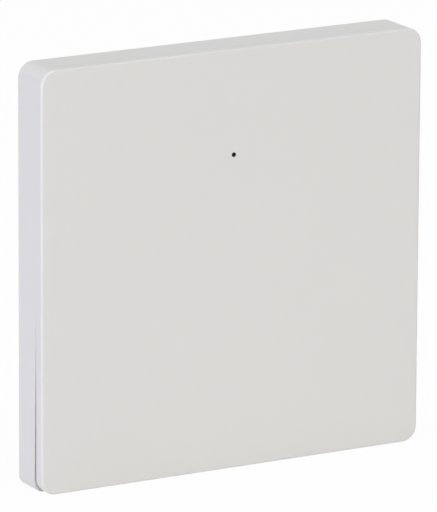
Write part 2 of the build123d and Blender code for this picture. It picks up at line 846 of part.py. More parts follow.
# Terminal screws and the cages that they draw down onto the wire
for number, pole_x in enumerate(poles, 1):
    with BuildPart() as terminal_screw:
        with BuildSketch(Plane.XY.offset(head_low)):
            with Locations((pole_x, cage_y)):
                Circle(terminal_head_radius)
        extrude(amount=terminal_head_height)
        with BuildSketch(Plane.XY.offset(head_low)):
            with Locations((pole_x, cage_y)):
                Rectangle(2 * terminal_head_radius, terminal_slot_width)
        extrude(amount=terminal_slot_depth, mode=Mode.SUBTRACT)
        with BuildSketch(Plane.XY.offset(head_high)):
            with Locations((pole_x, cage_y)):
                Circle(terminal_screw_radius)
        extrude(amount=bar_low - terminal_tip_gap - head_high)
    terminal_screw.part.label = f"terminal_screw_{number}"
    export_step(terminal_screw.part, f"parts/terminal_screw_{number}.step")

    with BuildPart() as terminal_clamp:
        with BuildSketch(facing_room(cage_rear_y)):
            with Locations((pole_x, (cage_low + cage_high) / 2)):
                Rectangle(cage_width, cage_high - cage_low)
            space_low = cage_low + cage_base
            space_high = cage_high - cage_top
            with Locations((pole_x, (space_low + space_high) / 2)):
                Rectangle(cage_inner_width, space_high - space_low, mode=Mode.SUBTRACT)
        extrude(amount=cage_length)
        with BuildSketch(Plane.XY.offset(cage_low)):
            with Locations((pole_x, cage_y)):
                Circle(terminal_screw_radius + terminal_screw_clearance)
        extrude(amount=cage_base, mode=Mode.SUBTRACT)
    terminal_clamp.part.label = f"terminal_clamp_{number}"
    export_step(terminal_clamp.part, f"parts/terminal_clamp_{number}.step")

# Places inside the relay
relay_base_y = power_rear_y + relay_base_thickness
relay_left_x = relay_x - relay_width / 2 + relay_wall
yoke_y = relay_base_y + yoke_lift
yoke_rear_y = yoke_y + yoke_thickness
flange_radius = coil_radius + bobbin_flange_proud
coil_y = yoke_rear_y + flange_radius + core_fit
heel_x = relay_left_x + relay_base_fit
coil_x = heel_x + yoke_thickness + core_fit
core_end_x = coil_x + coil_length + bobbin_flange_proud
armature_x = core_end_x + armature_gap
pivot_x = armature_x + armature_thickness / 2
pivot_y = yoke_y + yoke_thickness / 2
leaf_x = armature_x + armature_thickness

# Relay base and case
with BuildPart() as relay_base:
    base_inset = 2 * (relay_wall + relay_base_fit)
    block_on(
        power_rear_y,
        relay_x,
        relay_z,
        relay_width - base_inset,
        relay_height - base_inset,
        -relay_base_thickness,
    )
relay_base.part.label = "relay_base"
export_step(relay_base.part, "parts/relay_base.step")

with BuildPart() as relay_case:
    block_on(power_rear_y, relay_x, relay_z, relay_width, relay_height, -relay_rise)
    chamfer(relay_case.edges().filter_by(Axis.Y), relay_wall)
    with BuildSketch(facing_room(power_rear_y)):
        with Locations((relay_x, relay_z)):
            Rectangle(relay_width - 2 * relay_wall, relay_height - 2 * relay_wall)
    extrude(amount=-(relay_rise - relay_wall), mode=Mode.SUBTRACT)
relay_case.part.label = "relay_case"
export_step(relay_case.part, "parts/relay_case.step")

# Relay yoke: an angle of iron with the core of the coil riveted to its heel
with BuildPart() as relay_yoke:
    with BuildSketch(Plane.XY.offset(relay_z)):
        with BuildLine():
            Polyline(
                (heel_x, relay_base_y),
                (heel_x, coil_y + flange_radius),
                (heel_x + yoke_thickness, coil_y + flange_radius),
                (heel_x + yoke_thickness, yoke_rear_y),
                (armature_x - armature_gap / 2, yoke_rear_y),
                (armature_x - armature_gap / 2, yoke_y),
                (heel_x + yoke_thickness, yoke_y),
                (heel_x + yoke_thickness, relay_base_y),
                close=True,
            )
        make_face()
    extrude(amount=yoke_depth / 2, both=True)
    with BuildSketch(Plane.YZ.offset(heel_x)):
        with Locations((coil_y, relay_z)):
            Circle(core_radius)
    extrude(amount=core_end_x - heel_x)
relay_yoke.part.label = "relay_yoke"
export_step(relay_yoke.part, "parts/relay_yoke.step")

# Relay bobbin and the winding on it
with BuildPart() as relay_bobbin:
    with BuildSketch(Plane.YZ.offset(coil_x)):
        with Locations((coil_y, relay_z)):
            Circle(core_radius + core_fit + bobbin_wall)
    extrude(amount=coil_length)
    for flange_x in (coil_x, coil_x + coil_length - bobbin_flange):
        with BuildSketch(Plane.YZ.offset(flange_x)):
            with Locations((coil_y, relay_z)):
                Rectangle(2 * flange_radius, 2 * flange_radius)
        extrude(amount=bobbin_flange)
    with BuildSketch(Plane.YZ.offset(coil_x)):
        with Locations((coil_y, relay_z)):
            Circle(core_radius + core_fit)
    extrude(amount=coil_length, mode=Mode.SUBTRACT)
relay_bobbin.part.label = "relay_bobbin"
export_step(relay_bobbin.part, "parts/relay_bobbin.step")

with BuildPart() as relay_winding:
    with BuildSketch(Plane.YZ.offset(coil_x + bobbin_flange)):
        with Locations((coil_y, relay_z)):
            Circle(coil_radius)
            Circle(core_radius + core_fit + bobbin_wall, mode=Mode.SUBTRACT)
    extrude(amount=coil_length - 2 * bobbin_flange)
relay_winding.part.label = "relay_winding"
export_step(relay_winding.part, "parts/relay_winding.step")

# Relay armature with a round pivot edge, and the contact leaf that it carries
with BuildPart() as relay_armature:
    with BuildSketch(Plane.XY.offset(relay_z)):
        with Locations((pivot_x, pivot_y)):
            Circle(armature_thickness / 2)
        with Locations((pivot_x, pivot_y + armature_length / 2)):
            Rectangle(armature_thickness, armature_length)
    extrude(amount=armature_depth / 2, both=True)
relay_armature.part.label = "relay_armature"
export_step(relay_armature.part, "parts/relay_armature.step")

leaf_low_y = pivot_y + contact_leaf_lift
leaf_low_z = relay_z - armature_depth / 2
leaf_high_z = relay_z + contact_leaf_reach
button_y = leaf_low_y + contact_leaf_width / 2
with BuildPart() as relay_moving_contact:
    with BuildSketch(Plane.YZ.offset(leaf_x)):
        with Locations((button_y, (leaf_low_z + leaf_high_z) / 2)):
            Rectangle(contact_leaf_width, leaf_high_z - leaf_low_z)
    extrude(amount=contact_leaf_thickness)
    with BuildSketch(Plane.YZ.offset(leaf_x)):
        with Locations((button_y, relay_z + contact_z)):
            Circle(contact_radius)
    extrude(amount=-contact_thickness)
relay_moving_contact.part.label = "relay_moving_contact"
export_step(relay_moving_contact.part, "parts/relay_moving_contact.step")

with BuildPart() as relay_fixed_contact:
    fixed_face_x = leaf_x - contact_thickness - contact_gap
    contact_post_x = fixed_face_x - contact_thickness - contact_post_thickness / 2
    contact_post_rear_y = button_y + contact_radius
    with BuildSketch(facing_room(contact_post_rear_y)):
        with Locations((contact_post_x, relay_z + contact_z)):
            Rectangle(contact_post_thickness, contact_post_width)
    extrude(amount=contact_post_rear_y - relay_base_y)
    with BuildSketch(Plane.YZ.offset(fixed_face_x)):
        with Locations((button_y, relay_z + contact_z)):
            Circle(contact_post_width / 2)
    extrude(amount=-contact_thickness)
relay_fixed_contact.part.label = "relay_fixed_contact"
export_step(relay_fixed_contact.part, "parts/relay_fixed_contact.step")

# Transformer: foot, ring core with a centre leg, and the winding round that leg
window_side = (core_width - 2 * core_leg - core_center_leg) / 2
window_rise = core_height - 2 * core_leg
transformer_foot_y = power_rear_y + transformer_foot
transformer_y = transformer_foot_y + core_height / 2
winding_width = core_center_leg + 2 * winding_build
winding_depth = core_depth + 2 * winding_build

with BuildPart() as transformer_base:
    block_on(
        power_rear_y, transformer_x, transformer_z, core_width, winding_depth, -transformer_foot
    )
transformer_base.part.label = "transformer_base"
export_step(transformer_base.part, "parts/transformer_base.step")

with BuildPart() as transformer_core:
    window_shift = (core_center_leg + window_side) / 2
    with BuildSketch(Plane.XY.offset(transformer_z)):
        with Locations((transformer_x, transformer_y)):
            Rectangle(core_width, core_height)
            with Locations((-window_shift, 0), (window_shift, 0)):
                Rectangle(window_side, window_rise, mode=Mode.SUBTRACT)
    extrude(amount=core_depth / 2, both=True)
transformer_core.part.label = "transformer_core"
export_step(transformer_core.part, "parts/transformer_core.step")

with BuildPart() as transformer_winding:
    winding_rise = window_rise - 2 * winding_gap
    with BuildSketch(facing_room(transformer_y + winding_rise / 2)):
        with Locations((transformer_x, transformer_z)):
            RectangleRounded(winding_width, winding_depth, winding_build - winding_gap)
            Rectangle(
                core_center_leg + 2 * winding_gap,
                core_depth + 2 * winding_gap,
                mode=Mode.SUBTRACT,
            )
    extrude(amount=winding_rise)
transformer_winding.part.label = "transformer_winding"
export_step(transformer_winding.part, "parts/transformer_winding.step")

# Storage capacitor: a can with a groove near its foot
with BuildPart() as storage_capacitor:
    with BuildSketch(Plane.XY.offset(capacitor_z)):
        with BuildLine():
            foot_y = power_rear_y
            groove_y = foot_y + groove_lift
            Polyline(
                (capacitor_x, foot_y),
                (capacitor_x + capacitor_radius, foot_y),
                (capacitor_x + capacitor_radius, groove_y),
                (capacitor_x + capacitor_radius - capacitor_groove, groove_y + capacitor_groove),
                (capacitor_x + capacitor_radius, groove_y + 2 * capacitor_groove),
                (capacitor_x + capacitor_radius, foot_y + capacitor_rise),
                (capacitor_x, foot_y + capacitor_rise),
                close=True,
            )
        make_face()
    revolve(axis=Axis((capacitor_x, 0, capacitor_z), (0, 1, 0)))
    chamfer(storage_capacitor.edges().sort_by(Axis.Y)[-1], capacitor_chamfer)
storage_capacitor.part.label = "storage_capacitor"
export_step(storage_capacitor.part, "parts/storage_capacitor.step")

# Filter capacitor, fuse and varistor
with BuildPart() as filter_capacitor:
    block_on(power_rear_y, filter_x, filter_z, filter_width, filter_depth, -filter_rise)
    chamfer(filter_capacitor.edges().filter_by(Axis.Y), filter_chamfer)
filter_capacitor.part.label = "filter_capacitor"
export_step(filter_capacitor.part, "parts/filter_capacitor.step")

with BuildPart() as fuse:
    block_on(power_rear_y, fuse_x, fuse_z, fuse_width, fuse_depth, -fuse_rise)
    chamfer(fuse.edges().filter_by(Axis.Y), fuse_chamfer)
fuse.part.label = "fuse"
export_step(fuse.part, "parts/fuse.step")

with BuildPart() as varistor:
    disc_y = power_rear_y + varistor_lift + varistor_radius
    with BuildSketch(Plane.XY.offset(varistor_z)):
        with Locations((varistor_x, disc_y)):
            Circle(varistor_radius)
    extrude(amount=varistor_thickness / 2, both=True)
    with BuildSketch(facing_room(disc_y)):
        for side in (-1, 1):
            with Locations((varistor_x + side * varistor_lead_spacing / 2, varistor_z)):
                Circle(varistor_lead_radius)
    extrude(amount=disc_y - power_rear_y)
varistor.part.label = "varistor"
export_step(varistor.part, "parts/varistor.step")

# Rectifier and converter chip on the front of the power board
with BuildPart() as bridge_rectifier:
    block_on(power_y, rectifier_x, rectifier_z, rectifier_width, rectifier_height, rectifier_rise)
bridge_rectifier.part.label = "bridge_rectifier"
export_step(bridge_rectifier.part, "parts/bridge_rectifier.step")

with BuildPart() as converter_chip:
    block_on(power_y, converter_x, converter_z, converter_width, converter_height, converter_rise)
converter_chip.part.label = "converter_chip"
export_step(converter_chip.part, "parts/converter_chip.step")
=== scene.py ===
import json
import math

import bmesh
import bpy
from mathutils import Matrix, Vector

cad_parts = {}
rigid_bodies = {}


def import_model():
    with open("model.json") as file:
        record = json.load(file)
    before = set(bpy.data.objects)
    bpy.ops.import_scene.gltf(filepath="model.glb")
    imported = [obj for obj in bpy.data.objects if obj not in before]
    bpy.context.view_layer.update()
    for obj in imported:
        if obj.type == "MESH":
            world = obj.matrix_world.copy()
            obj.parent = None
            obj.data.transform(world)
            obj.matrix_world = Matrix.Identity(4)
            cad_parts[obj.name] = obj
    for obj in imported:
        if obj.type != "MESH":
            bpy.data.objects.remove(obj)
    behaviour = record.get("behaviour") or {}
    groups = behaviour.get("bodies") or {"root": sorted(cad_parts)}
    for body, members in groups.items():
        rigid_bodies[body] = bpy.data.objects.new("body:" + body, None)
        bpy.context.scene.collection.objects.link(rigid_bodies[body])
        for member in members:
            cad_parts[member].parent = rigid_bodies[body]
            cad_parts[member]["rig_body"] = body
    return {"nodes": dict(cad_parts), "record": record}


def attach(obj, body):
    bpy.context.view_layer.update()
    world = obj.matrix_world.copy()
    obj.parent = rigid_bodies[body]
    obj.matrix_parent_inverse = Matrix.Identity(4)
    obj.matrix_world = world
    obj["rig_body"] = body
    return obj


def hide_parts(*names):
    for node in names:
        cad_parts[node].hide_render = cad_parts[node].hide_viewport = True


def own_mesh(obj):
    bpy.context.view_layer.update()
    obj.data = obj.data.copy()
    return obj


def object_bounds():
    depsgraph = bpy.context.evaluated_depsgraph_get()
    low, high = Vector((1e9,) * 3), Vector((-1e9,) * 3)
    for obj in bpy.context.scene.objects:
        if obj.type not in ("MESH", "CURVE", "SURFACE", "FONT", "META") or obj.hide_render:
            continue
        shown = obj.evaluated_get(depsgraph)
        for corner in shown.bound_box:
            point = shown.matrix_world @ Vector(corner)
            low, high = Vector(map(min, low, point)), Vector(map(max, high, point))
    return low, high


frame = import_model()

# Smart wall light switch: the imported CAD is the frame, and this script gives it its looks.
# Metres, X to the right, Y into the wall, Z up. The front face is at y = -0.0098.

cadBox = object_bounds()
nodes = frame["nodes"]
slotOf = {row["node"]: row["material_slot"] for row in frame["record"]["subparts"]}
print("frame loaded:", len(nodes), "nodes")

mm = 0.001
mergeDistance = 0.001 * mm
smoothAngle = math.radians(40)  # faces that meet at less than this share their shading
towardsRoom, towardsWall = (0, -1, 0), (0, 1, 0)
upwards, sideways = (0, 0, 1), (1, 0, 0)


# Small helpers

def deselectAll():
    for thing in list(bpy.context.selected_objects):
        thing.select_set(False)


def makeActive(thing):
    deselectAll()
    thing.select_set(True)
    bpy.context.view_layer.objects.active = thing


def addObject(name, data):
    thing = bpy.data.objects.new(name, data)
    bpy.context.scene.collection.objects.link(thing)
    return thing


def applyModifiers(thing):
    makeActive(thing)
    for step in list(thing.modifiers):
        bpy.ops.object.modifier_apply(modifier=step.name)


def inMetres(point):
    return Vector(point) * mm


# Merges points of the active piece that coincide, and turns its faces outwards
def closeShell(merging=True):
    bpy.ops.object.mode_set(mode="EDIT")
    bpy.ops.mesh.select_all(action="SELECT")
    if merging:
        bpy.ops.mesh.remove_doubles(threshold=mergeDistance)
    bpy.ops.mesh.normals_make_consistent(inside=False)
    bpy.ops.object.mode_set(mode="OBJECT")


# Node blocks that the finishes share

def startFinish(name):
    finish = bpy.data.materials.new(name)
    finish.use_nodes = True
    tree = finish.node_tree
    tree.nodes.clear()
    out = tree.nodes.new("ShaderNodeOutputMaterial")
    shader = tree.nodes.new("ShaderNodeBsdfPrincipled")
    place = tree.nodes.new("ShaderNodeTexCoord")
    tree.links.new(shader.outputs["BSDF"], out.inputs["Surface"])
    return finish, tree, shader, place.outputs["Object"]


def stretched(tree, place, scale, turn=(0, 0, 0)):
    mapping = tree.nodes.new("ShaderNodeMapping")
    mapping.inputs["Scale"].default_value = scale
    mapping.inputs["Rotation"].default_value = turn
    tree.links.new(place, mapping.inputs["Vector"])
    return mapping.outputs["Vector"]


def noise(tree, place, perMetre, detail, roughness=0.5):
    cloud = tree.nodes.new("ShaderNodeTexNoise")
    cloud.inputs["Scale"].default_value = perMetre
    cloud.inputs["Detail"].default_value = detail
    cloud.inputs["Roughness"].default_value = roughness
    tree.links.new(place, cloud.inputs["Vector"])
    return cloud.outputs["Fac"]


def cells(tree, place, perMetre):
    spots = tree.nodes.new("ShaderNodeTexVoronoi")
    spots.inputs["Scale"].default_value = perMetre
    tree.links.new(place, spots.inputs["Vector"])
    return spots.outputs["Distance"]


def bands(tree, place, perMetre, axis, distortion=0.0):
    wave = tree.nodes.new("ShaderNodeTexWave")
    wave.wave_type = "BANDS"
    wave.bands_direction = axis
    wave.inputs["Scale"].default_value = perMetre
    wave.inputs["Distortion"].default_value = distortion
    wave.inputs["Detail Scale"].default_value = 1.0
    tree.links.new(place, wave.inputs["Vector"])
    return wave.outputs["Fac"]


def spread(tree, value, low, high, fromLow=0.0, fromHigh=1.0):
    fit = tree.nodes.new("ShaderNodeMapRange")
    fit.inputs["From Min"].default_value = fromLow
    fit.inputs["From Max"].default_value = fromHigh
    fit.inputs["To Min"].default_value = low
    fit.inputs["To Max"].default_value = high
    tree.links.new(value, fit.inputs["Value"])
    return fit.outputs["Result"]


# 0 under the edge's first value, 1 over its second
def stepped(tree, value, edge):
    return spread(tree, value, 0.0, 1.0, *edge)


def combined(tree, operation, first, second):
    sums = tree.nodes.new("ShaderNodeMath")
    sums.operation = operation
    tree.links.new(first, sums.inputs[0])
    if isinstance(second, float):
        sums.inputs[1].default_value = second
    else:
        tree.links.new(second, sums.inputs[1])
    return sums.outputs["Value"]


def mixColours(tree, amount, first, second):
    mix = tree.nodes.new("ShaderNodeMix")
    mix.data_type = "RGBA"
    colourA, colourB, colourOut = mix.inputs[6], mix.inputs[7], mix.outputs[2]
    tree.links.new(amount, mix.inputs["Factor"])
    for socket, colour in ((colourA, first), (colourB, second)):
        if isinstance(colour, tuple):
            socket.default_value = (*colour, 1.0)
        else:
            tree.links.new(colour, socket)
    return colourOut


def shade(colour, factor):
    return tuple(min(1.0, channel * factor) for channel in colour)


# The colour a share darker and a share lighter, from place to place
def mottled(tree, amount, colour, share):
    return mixColours(tree, amount, shade(colour, 1 - share), shade(colour, 1 + share))


def unevenGloss(tree, shader, value, gloss, less, more):
    tree.links.new(spread(tree, value, gloss - less, gloss + more), shader.inputs["Roughness"])


def dented(tree, shader, height, depth, strength=1.0, after=None):
    bump = tree.nodes.new("ShaderNodeBump")
    bump.inputs["Strength"].default_value = strength
    bump.inputs["Distance"].default_value = depth
    tree.links.new(height, bump.inputs["Height"])
    if after is not None:
        tree.links.new(after, bump.inputs["Normal"])
    tree.links.new(bump.outputs["Normal"], shader.inputs["Normal"])
    return bump.outputs["Normal"]


# 1 for what the camera, a gloss or a clear piece sees, 0 for light that only falls on something
def anyDirectRay(tree):
    path = tree.nodes.new("ShaderNodeLightPath")
    seen = path.outputs["Is Camera Ray"]
    for ray in ("Is Glossy Ray", "Is Transmission Ray"):
        seen = combined(tree, "MAXIMUM", seen, path.outputs[ray])
    return seen


# The finishes. In their dictionaries gloss is the roughness, a noise is given as (scale, detail),
# depths are in metres, and an edge is the pair of values between which a pattern sets in.

# Moulded plastics: a fine eroded grain, a faint flow mottle and slightly uneven gloss
mouldings = {
    "white_shell": {"colour": (0.705, 0.697, 0.668), "gloss": 0.32, "mottle": 0.010,
                    "grain": 5200, "depth": 2.5e-6},
    "inner_plastic": {"colour": (0.80, 0.80, 0.78), "gloss": 0.48, "mottle": 0.02,
                      "grain": 3600, "depth": 6e-6},
    "module_plastic": {"colour": (0.74, 0.74, 0.725), "gloss": 0.52, "mottle": 0.03,
                       "grain": 2600, "depth": 12e-6},
    "terminal_plastic": {"colour": (0.075, 0.08, 0.088), "gloss": 0.45, "mottle": 0.08,
                         "grain": 3000, "depth": 10e-6},
    "black_plastic": {"colour": (0.018, 0.018, 0.019), "gloss": 0.42, "mottle": 0.12,
                      "grain": 4200, "depth": 8e-6},
    "button_plastic": {"colour": (0.70, 0.67, 0.58), "gloss": 0.40, "mottle": 0.03,
                       "grain": 5000, "depth": 4e-6},
    "relay_plastic": {"colour": (0.010, 0.035, 0.145), "gloss": 0.24, "mottle": 0.06,
                      "grain": 1800, "depth": 4e-6},
    "film_box": {"colour": (0.57, 0.39, 0.034), "gloss": 0.28, "mottle": 0.05,
                 "grain": 1500, "depth": 4e-6},
    "fuse_body": {"colour": (0.034, 0.014, 0.009), "gloss": 0.26, "mottle": 0.08,
                  "grain": 1600, "depth": 4e-6},
    "soft_pad": {"colour": (0.27, 0.27, 0.26), "gloss": 0.80, "mottle": 0.08,
                 "grain": 6000, "depth": 20e-6},
}
mouldingPattern = {
    "flow": (45, 3), "patches": (160, 4), "glossSpread": 0.05,
    "grainDetail": 3, "grainRoughness": 0.6, "refraction": 1.55,
}


def mouldedFinish(name, look):
    finish, tree, shader, place = startFinish(name)
    pattern = mouldingPattern
    flow = noise(tree, place, *pattern["flow"])
    tone = mottled(tree, flow, look["colour"], look["mottle"])
    tree.links.new(tone, shader.inputs["Base Color"])
    patches = noise(tree, place, *pattern["patches"])
    unevenGloss(tree, shader, patches, look["gloss"], pattern["glossSpread"], pattern["glossSpread"])
    grain = noise(tree, place, look["grain"], pattern["grainDetail"], pattern["grainRoughness"])
    dented(tree, shader, grain, look["depth"])
    shader.inputs["IOR"].default_value = pattern["refraction"]
    return finish


# Metals: drawn or stamped, with fine lines along one direction and a patchy plated tone
metals = {
    "spring_steel": {"colour": (0.56, 0.56, 0.57), "gloss": 0.22, "tone": 0.10,
                     "lines": (4000, 300, 4000)},
    "shield_metal": {"colour": (0.60, 0.60, 0.59), "gloss": 0.34, "tone": 0.10,
                     "lines": (250, 3000, 3000)},
    "plated_pins": {"colour": (0.83, 0.60, 0.24), "gloss": 0.25, "tone": 0.08,
                    "lines": (5000, 350, 5000)},
    "zinc_steel": {"colour": (0.60, 0.61, 0.63), "gloss": 0.32, "tone": 0.14,
                   "lines": (1800, 1800, 4000)},
    "terminal_brass": {"colour": (0.70, 0.47, 0.17), "gloss": 0.30, "tone": 0.12,
                       "lines": (3500, 260, 3500)},
    "clamp_steel": {"colour": (0.60, 0.53, 0.33), "gloss": 0.34, "tone": 0.18,
                    "lines": (3000, 300, 3000)},
    "soft_iron": {"colour": (0.42, 0.42, 0.41), "gloss": 0.36, "tone": 0.12,
                  "lines": (400, 3500, 3500)},
}
metalPattern = {
    "clouds": (320, 4), "lineNoise": (1.0, 2), "glossLess": 0.08, "glossMore": 0.10, "depth": 4e-6,
}


def metalFinish(name, look):
    finish, tree, shader, place = startFinish(name)
    pattern = metalPattern
    shader.inputs["Metallic"].default_value = 1.0
    clouds = noise(tree, place, *pattern["clouds"])
    tone = mottled(tree, clouds, look["colour"], look["tone"])
    tree.links.new(tone, shader.inputs["Base Color"])
    lines = noise(tree, stretched(tree, place, look["lines"]), *pattern["lineNoise"])
    unevenGloss(tree, shader, lines, look["gloss"], pattern["glossLess"], pattern["glossMore"])
    dented(tree, shader, lines, pattern["depth"])
    return finish


# Circuit boards: solder mask over copper tracks and poured fields, with scattered tinned pads
boards = {
    "board_green": {"mask": (0.012, 0.095, 0.035), "track": (0.020, 0.135, 0.050),
                    "padPitch": 0.0016, "runs": 260},
    "board_blue": {"mask": (0.010, 0.030, 0.115), "track": (0.016, 0.045, 0.155),
                   "padPitch": 0.0011, "runs": 380},
}
boardPattern = {
    "trackEdge": (0.70, 0.80), "turning": (95, 0), "turningEdge": (0.495, 0.505),
    "fields": (120, 1), "fieldEdge": (0.52, 0.54),
    "padSpacing": 2.2, "padEdge": (0.10, 0.13), "tin": (0.66, 0.66, 0.62),
    "weave": (900, 3), "gloss": 0.29, "glossSpread": 0.07,
    "trackHeight": 30e-6, "trackStrength": 0.6, "weaveDepth": 8e-6, "weaveStrength": 0.5,
}


def boardFinish(name, look):
    finish, tree, shader, place = startFinish(name)
    pattern = boardPattern
    flat = stretched(tree, place, (1, 1, 1), turn=(math.radians(90), 0, 0))
    along = stepped(tree, bands(tree, flat, look["runs"], "Y"), pattern["trackEdge"])
    across = stepped(tree, bands(tree, flat, look["runs"], "X"), pattern["trackEdge"])
    turning = stepped(tree, noise(tree, flat, *pattern["turning"]), pattern["turningEdge"])
    tracks = tree.nodes.new("ShaderNodeMix")
    tree.links.new(turning, tracks.inputs["Factor"])
    tree.links.new(along, tracks.inputs["A"])
    tree.links.new(across, tracks.inputs["B"])
    fields = stepped(tree, noise(tree, flat, *pattern["fields"]), pattern["fieldEdge"])
    copper = combined(tree, "MAXIMUM", tracks.outputs["Result"], fields)
    base = mixColours(tree, copper, look["mask"], look["track"])
    spots = cells(tree, flat, 1 / (look["padPitch"] * pattern["padSpacing"]))
    pads = spread(tree, spots, 1.0, 0.0, *pattern["padEdge"])
    tone = mixColours(tree, pads, base, pattern["tin"])
    tree.links.new(tone, shader.inputs["Base Color"])
    tree.links.new(pads, shader.inputs["Metallic"])
    weave = noise(tree, place, *pattern["weave"])
    unevenGloss(tree, shader, weave, pattern["gloss"], pattern["glossSpread"], pattern["glossSpread"])
    raised = dented(tree, shader, copper, pattern["trackHeight"], pattern["trackStrength"])
    dented(tree, shader, weave, pattern["weaveDepth"], pattern["weaveStrength"], after=raised)
    return finish


# Windings and tape: turns side by side across one axis, with painted shade in the grooves between
# turns and random darker patches
windings = {
    "copper_wire": {"colour": (0.40, 0.115, 0.035), "grooveShadeAndPatchColour": (0.15, 0.035, 0.012),
                    "turns": 7500, "axis": "X", "gloss": 0.26},
    "yellow_tape": {"colour": (0.69, 0.44, 0.02), "grooveShadeAndPatchColour": (0.45, 0.26, 0.01),
                    "turns": 260, "axis": "Y", "gloss": 0.30},
}
windingPattern = {
    "bandScale": 0.314 / (2 * math.pi), "distortion": 0.6, "uneven": (500, 3), "darkShare": 0.35,
    "glossLess": 0.06, "glossMore": 0.10, "depth": 40e-6, "coat": 0.35,
}


def woundFinish(name, look):
    finish, tree, shader, place = startFinish(name)
    pattern = windingPattern
    scale = look["turns"] * pattern["bandScale"]
    turns = bands(tree, place, scale, look["axis"], pattern["distortion"])
    uneven = noise(tree, place, *pattern["uneven"])
    # painted shade: the grooves between turns take the darker colour, which the random patches below
    # also use
    grooveShaded = mixColours(tree, turns, look["grooveShadeAndPatchColour"], look["colour"])
    patchy = spread(tree, uneven, 0.0, pattern["darkShare"])
    tone = mixColours(tree, patchy, grooveShaded, look["grooveShadeAndPatchColour"])
    tree.links.new(tone, shader.inputs["Base Color"])
    unevenGloss(tree, shader, uneven, look["gloss"], pattern["glossLess"], pattern["glossMore"])
    dented(tree, shader, turns, pattern["depth"])
    shader.inputs["Coat Weight"].default_value = pattern["coat"]
    return finish


# Dipped, sleeved and sintered bodies
coats = {
    "capacitor_sleeve": {"colour": (0.012, 0.012, 0.016), "gloss": 0.22,
                         "peel": 700, "depth": 10e-6, "specks": 0.0},
    "varistor_coat": {"colour": (0.012, 0.045, 0.24), "gloss": 0.20,
                      "peel": 900, "depth": 30e-6, "specks": 0.0},
    "ferrite": {"colour": (0.030, 0.030, 0.032), "gloss": 0.55,
                "peel": 2600, "depth": 10e-6, "specks": 0.25},
}
coatPattern = {
    "peelDetail": 2, "tone": 0.15, "speckScale": 9000, "speckEdge": (0.05, 0.25),
    "speck": (0.35, 0.35, 0.36), "glossLess": 0.06, "glossMore": 0.08,
}


def coatFinish(name, look):
    finish, tree, shader, place = startFinish(name)
    pattern = coatPattern
    peel = noise(tree, place, look["peel"], pattern["peelDetail"])
    grit = cells(tree, place, pattern["speckScale"])
    flecks = spread(tree, grit, look["specks"], 0.0, *pattern["speckEdge"])
    tone = mottled(tree, peel, look["colour"], pattern["tone"])
    tone = mixColours(tree, flecks, tone, pattern["speck"])
    tree.links.new(tone, shader.inputs["Base Color"])
    unevenGloss(tree, shader, peel, look["gloss"], pattern["glossLess"], pattern["glossMore"])
    dented(tree, shader, peel, look["depth"])
    return finish


# Clear guide and the milky lens of the lamp
clears = {
    "clear_guide": {"colour": (0.16, 0.165, 0.17), "through": 0.92, "gloss": 0.06},
    "lamp_white": {"colour": (0.80, 0.76, 0.52), "through": 0.25, "gloss": 0.22},
}
clearPattern = {
    "haze": (1400, 3), "tone": 0.97, "glossLess": 0.03, "glossMore": 0.06,
    "refraction": 1.58, "depth": 2e-6,
}


def clearFinish(name, look):
    finish, tree, shader, place = startFinish(name)
    pattern = clearPattern
    haze = noise(tree, place, *pattern["haze"])
    tone = mixColours(tree, haze, shade(look["colour"], pattern["tone"]), look["colour"])
    tree.links.new(tone, shader.inputs["Base Color"])
    unevenGloss(tree, shader, haze, look["gloss"], pattern["glossLess"], pattern["glossMore"])
    shader.inputs["Transmission Weight"].default_value = look["through"]
    shader.inputs["IOR"].default_value = pattern["refraction"]
    dented(tree, shader, haze, pattern["depth"])
    return finish


finishes = {}
for family, makeFinish in (
    (mouldings, mouldedFinish),
    (metals, metalFinish),
    (boards, boardFinish),
    (windings, woundFinish),
    (coats, coatFinish),
    (clears, clearFinish),
):
    for finishName, look in family.items():
        finishes[finishName] = makeFinish(finishName, look)
print("finishes made:", len(finishes))


# The camera, fitted to the photograph: its place and its three axes
cameraView = {
    "place": (-0.617645, -1.109372, 0.327570),
    "right": (0.873661, -0.486507, 0.005250),
    "up": (0.117560, 0.221560, 0.968035),
    "back": (-0.472119, -0.845117, 0.250762),
    "lens": 461.03,
    "sensor": 36.0,
    "farthest": 20.0,
}
cameraData = bpy.data.cameras.new("photoCamera")
camera = addObject("photoCamera", cameraData)
axes = Matrix((cameraView["right"], cameraView["up"], cameraView["back"])).transposed()
camera.matrix_world = Matrix.Translation(cameraView["place"]) @ axes.to_4x4()
cameraData.lens = cameraView["lens"]
cameraData.sensor_width = cameraView["sensor"]
cameraData.clip_end = cameraView["farthest"]
bpy.context.scene.camera = camera

# Square softboxes that all look at the origin: the edge one draws the bright line along the rim
softboxes = {
    "leftSoftbox": {"place": (-1.26, 0.34, 0.00), "size": 0.5, "power": 3.7,
                    "colour": (0.58, 0.59, 1.0)},
    "frontSoftbox": {"place": (-0.09, -1.25, 0.00), "size": 0.4, "power": 7.7,
                     "colour": (1.0, 0.995, 0.98)},
    "edgeSoftbox": {"place": (-1.20, -0.36, -0.01), "size": 0.06, "power": 4.9,
                    "colour": (0.93, 0.92, 1.0)},
    "topSoftbox": {"place": (0.00, -0.08, 1.31), "size": 0.9, "power": 9.2,
                   "colour": (0.935, 0.945, 1.0)},
}
for lampName, lamp in softboxes.items():
    lampData = bpy.data.lights.new(lampName, "AREA")
    lampData.shape = "SQUARE"
    lampData.size = lamp["size"]
    lampData.energy = lamp["power"]
    lampData.color = lamp["colour"]
    softbox = addObject(lampName, lampData)
    softbox.location = lamp["place"]
    softbox.rotation_euler = (-Vector(lamp["place"])).to_track_quat("-Z", "Y").to_euler()

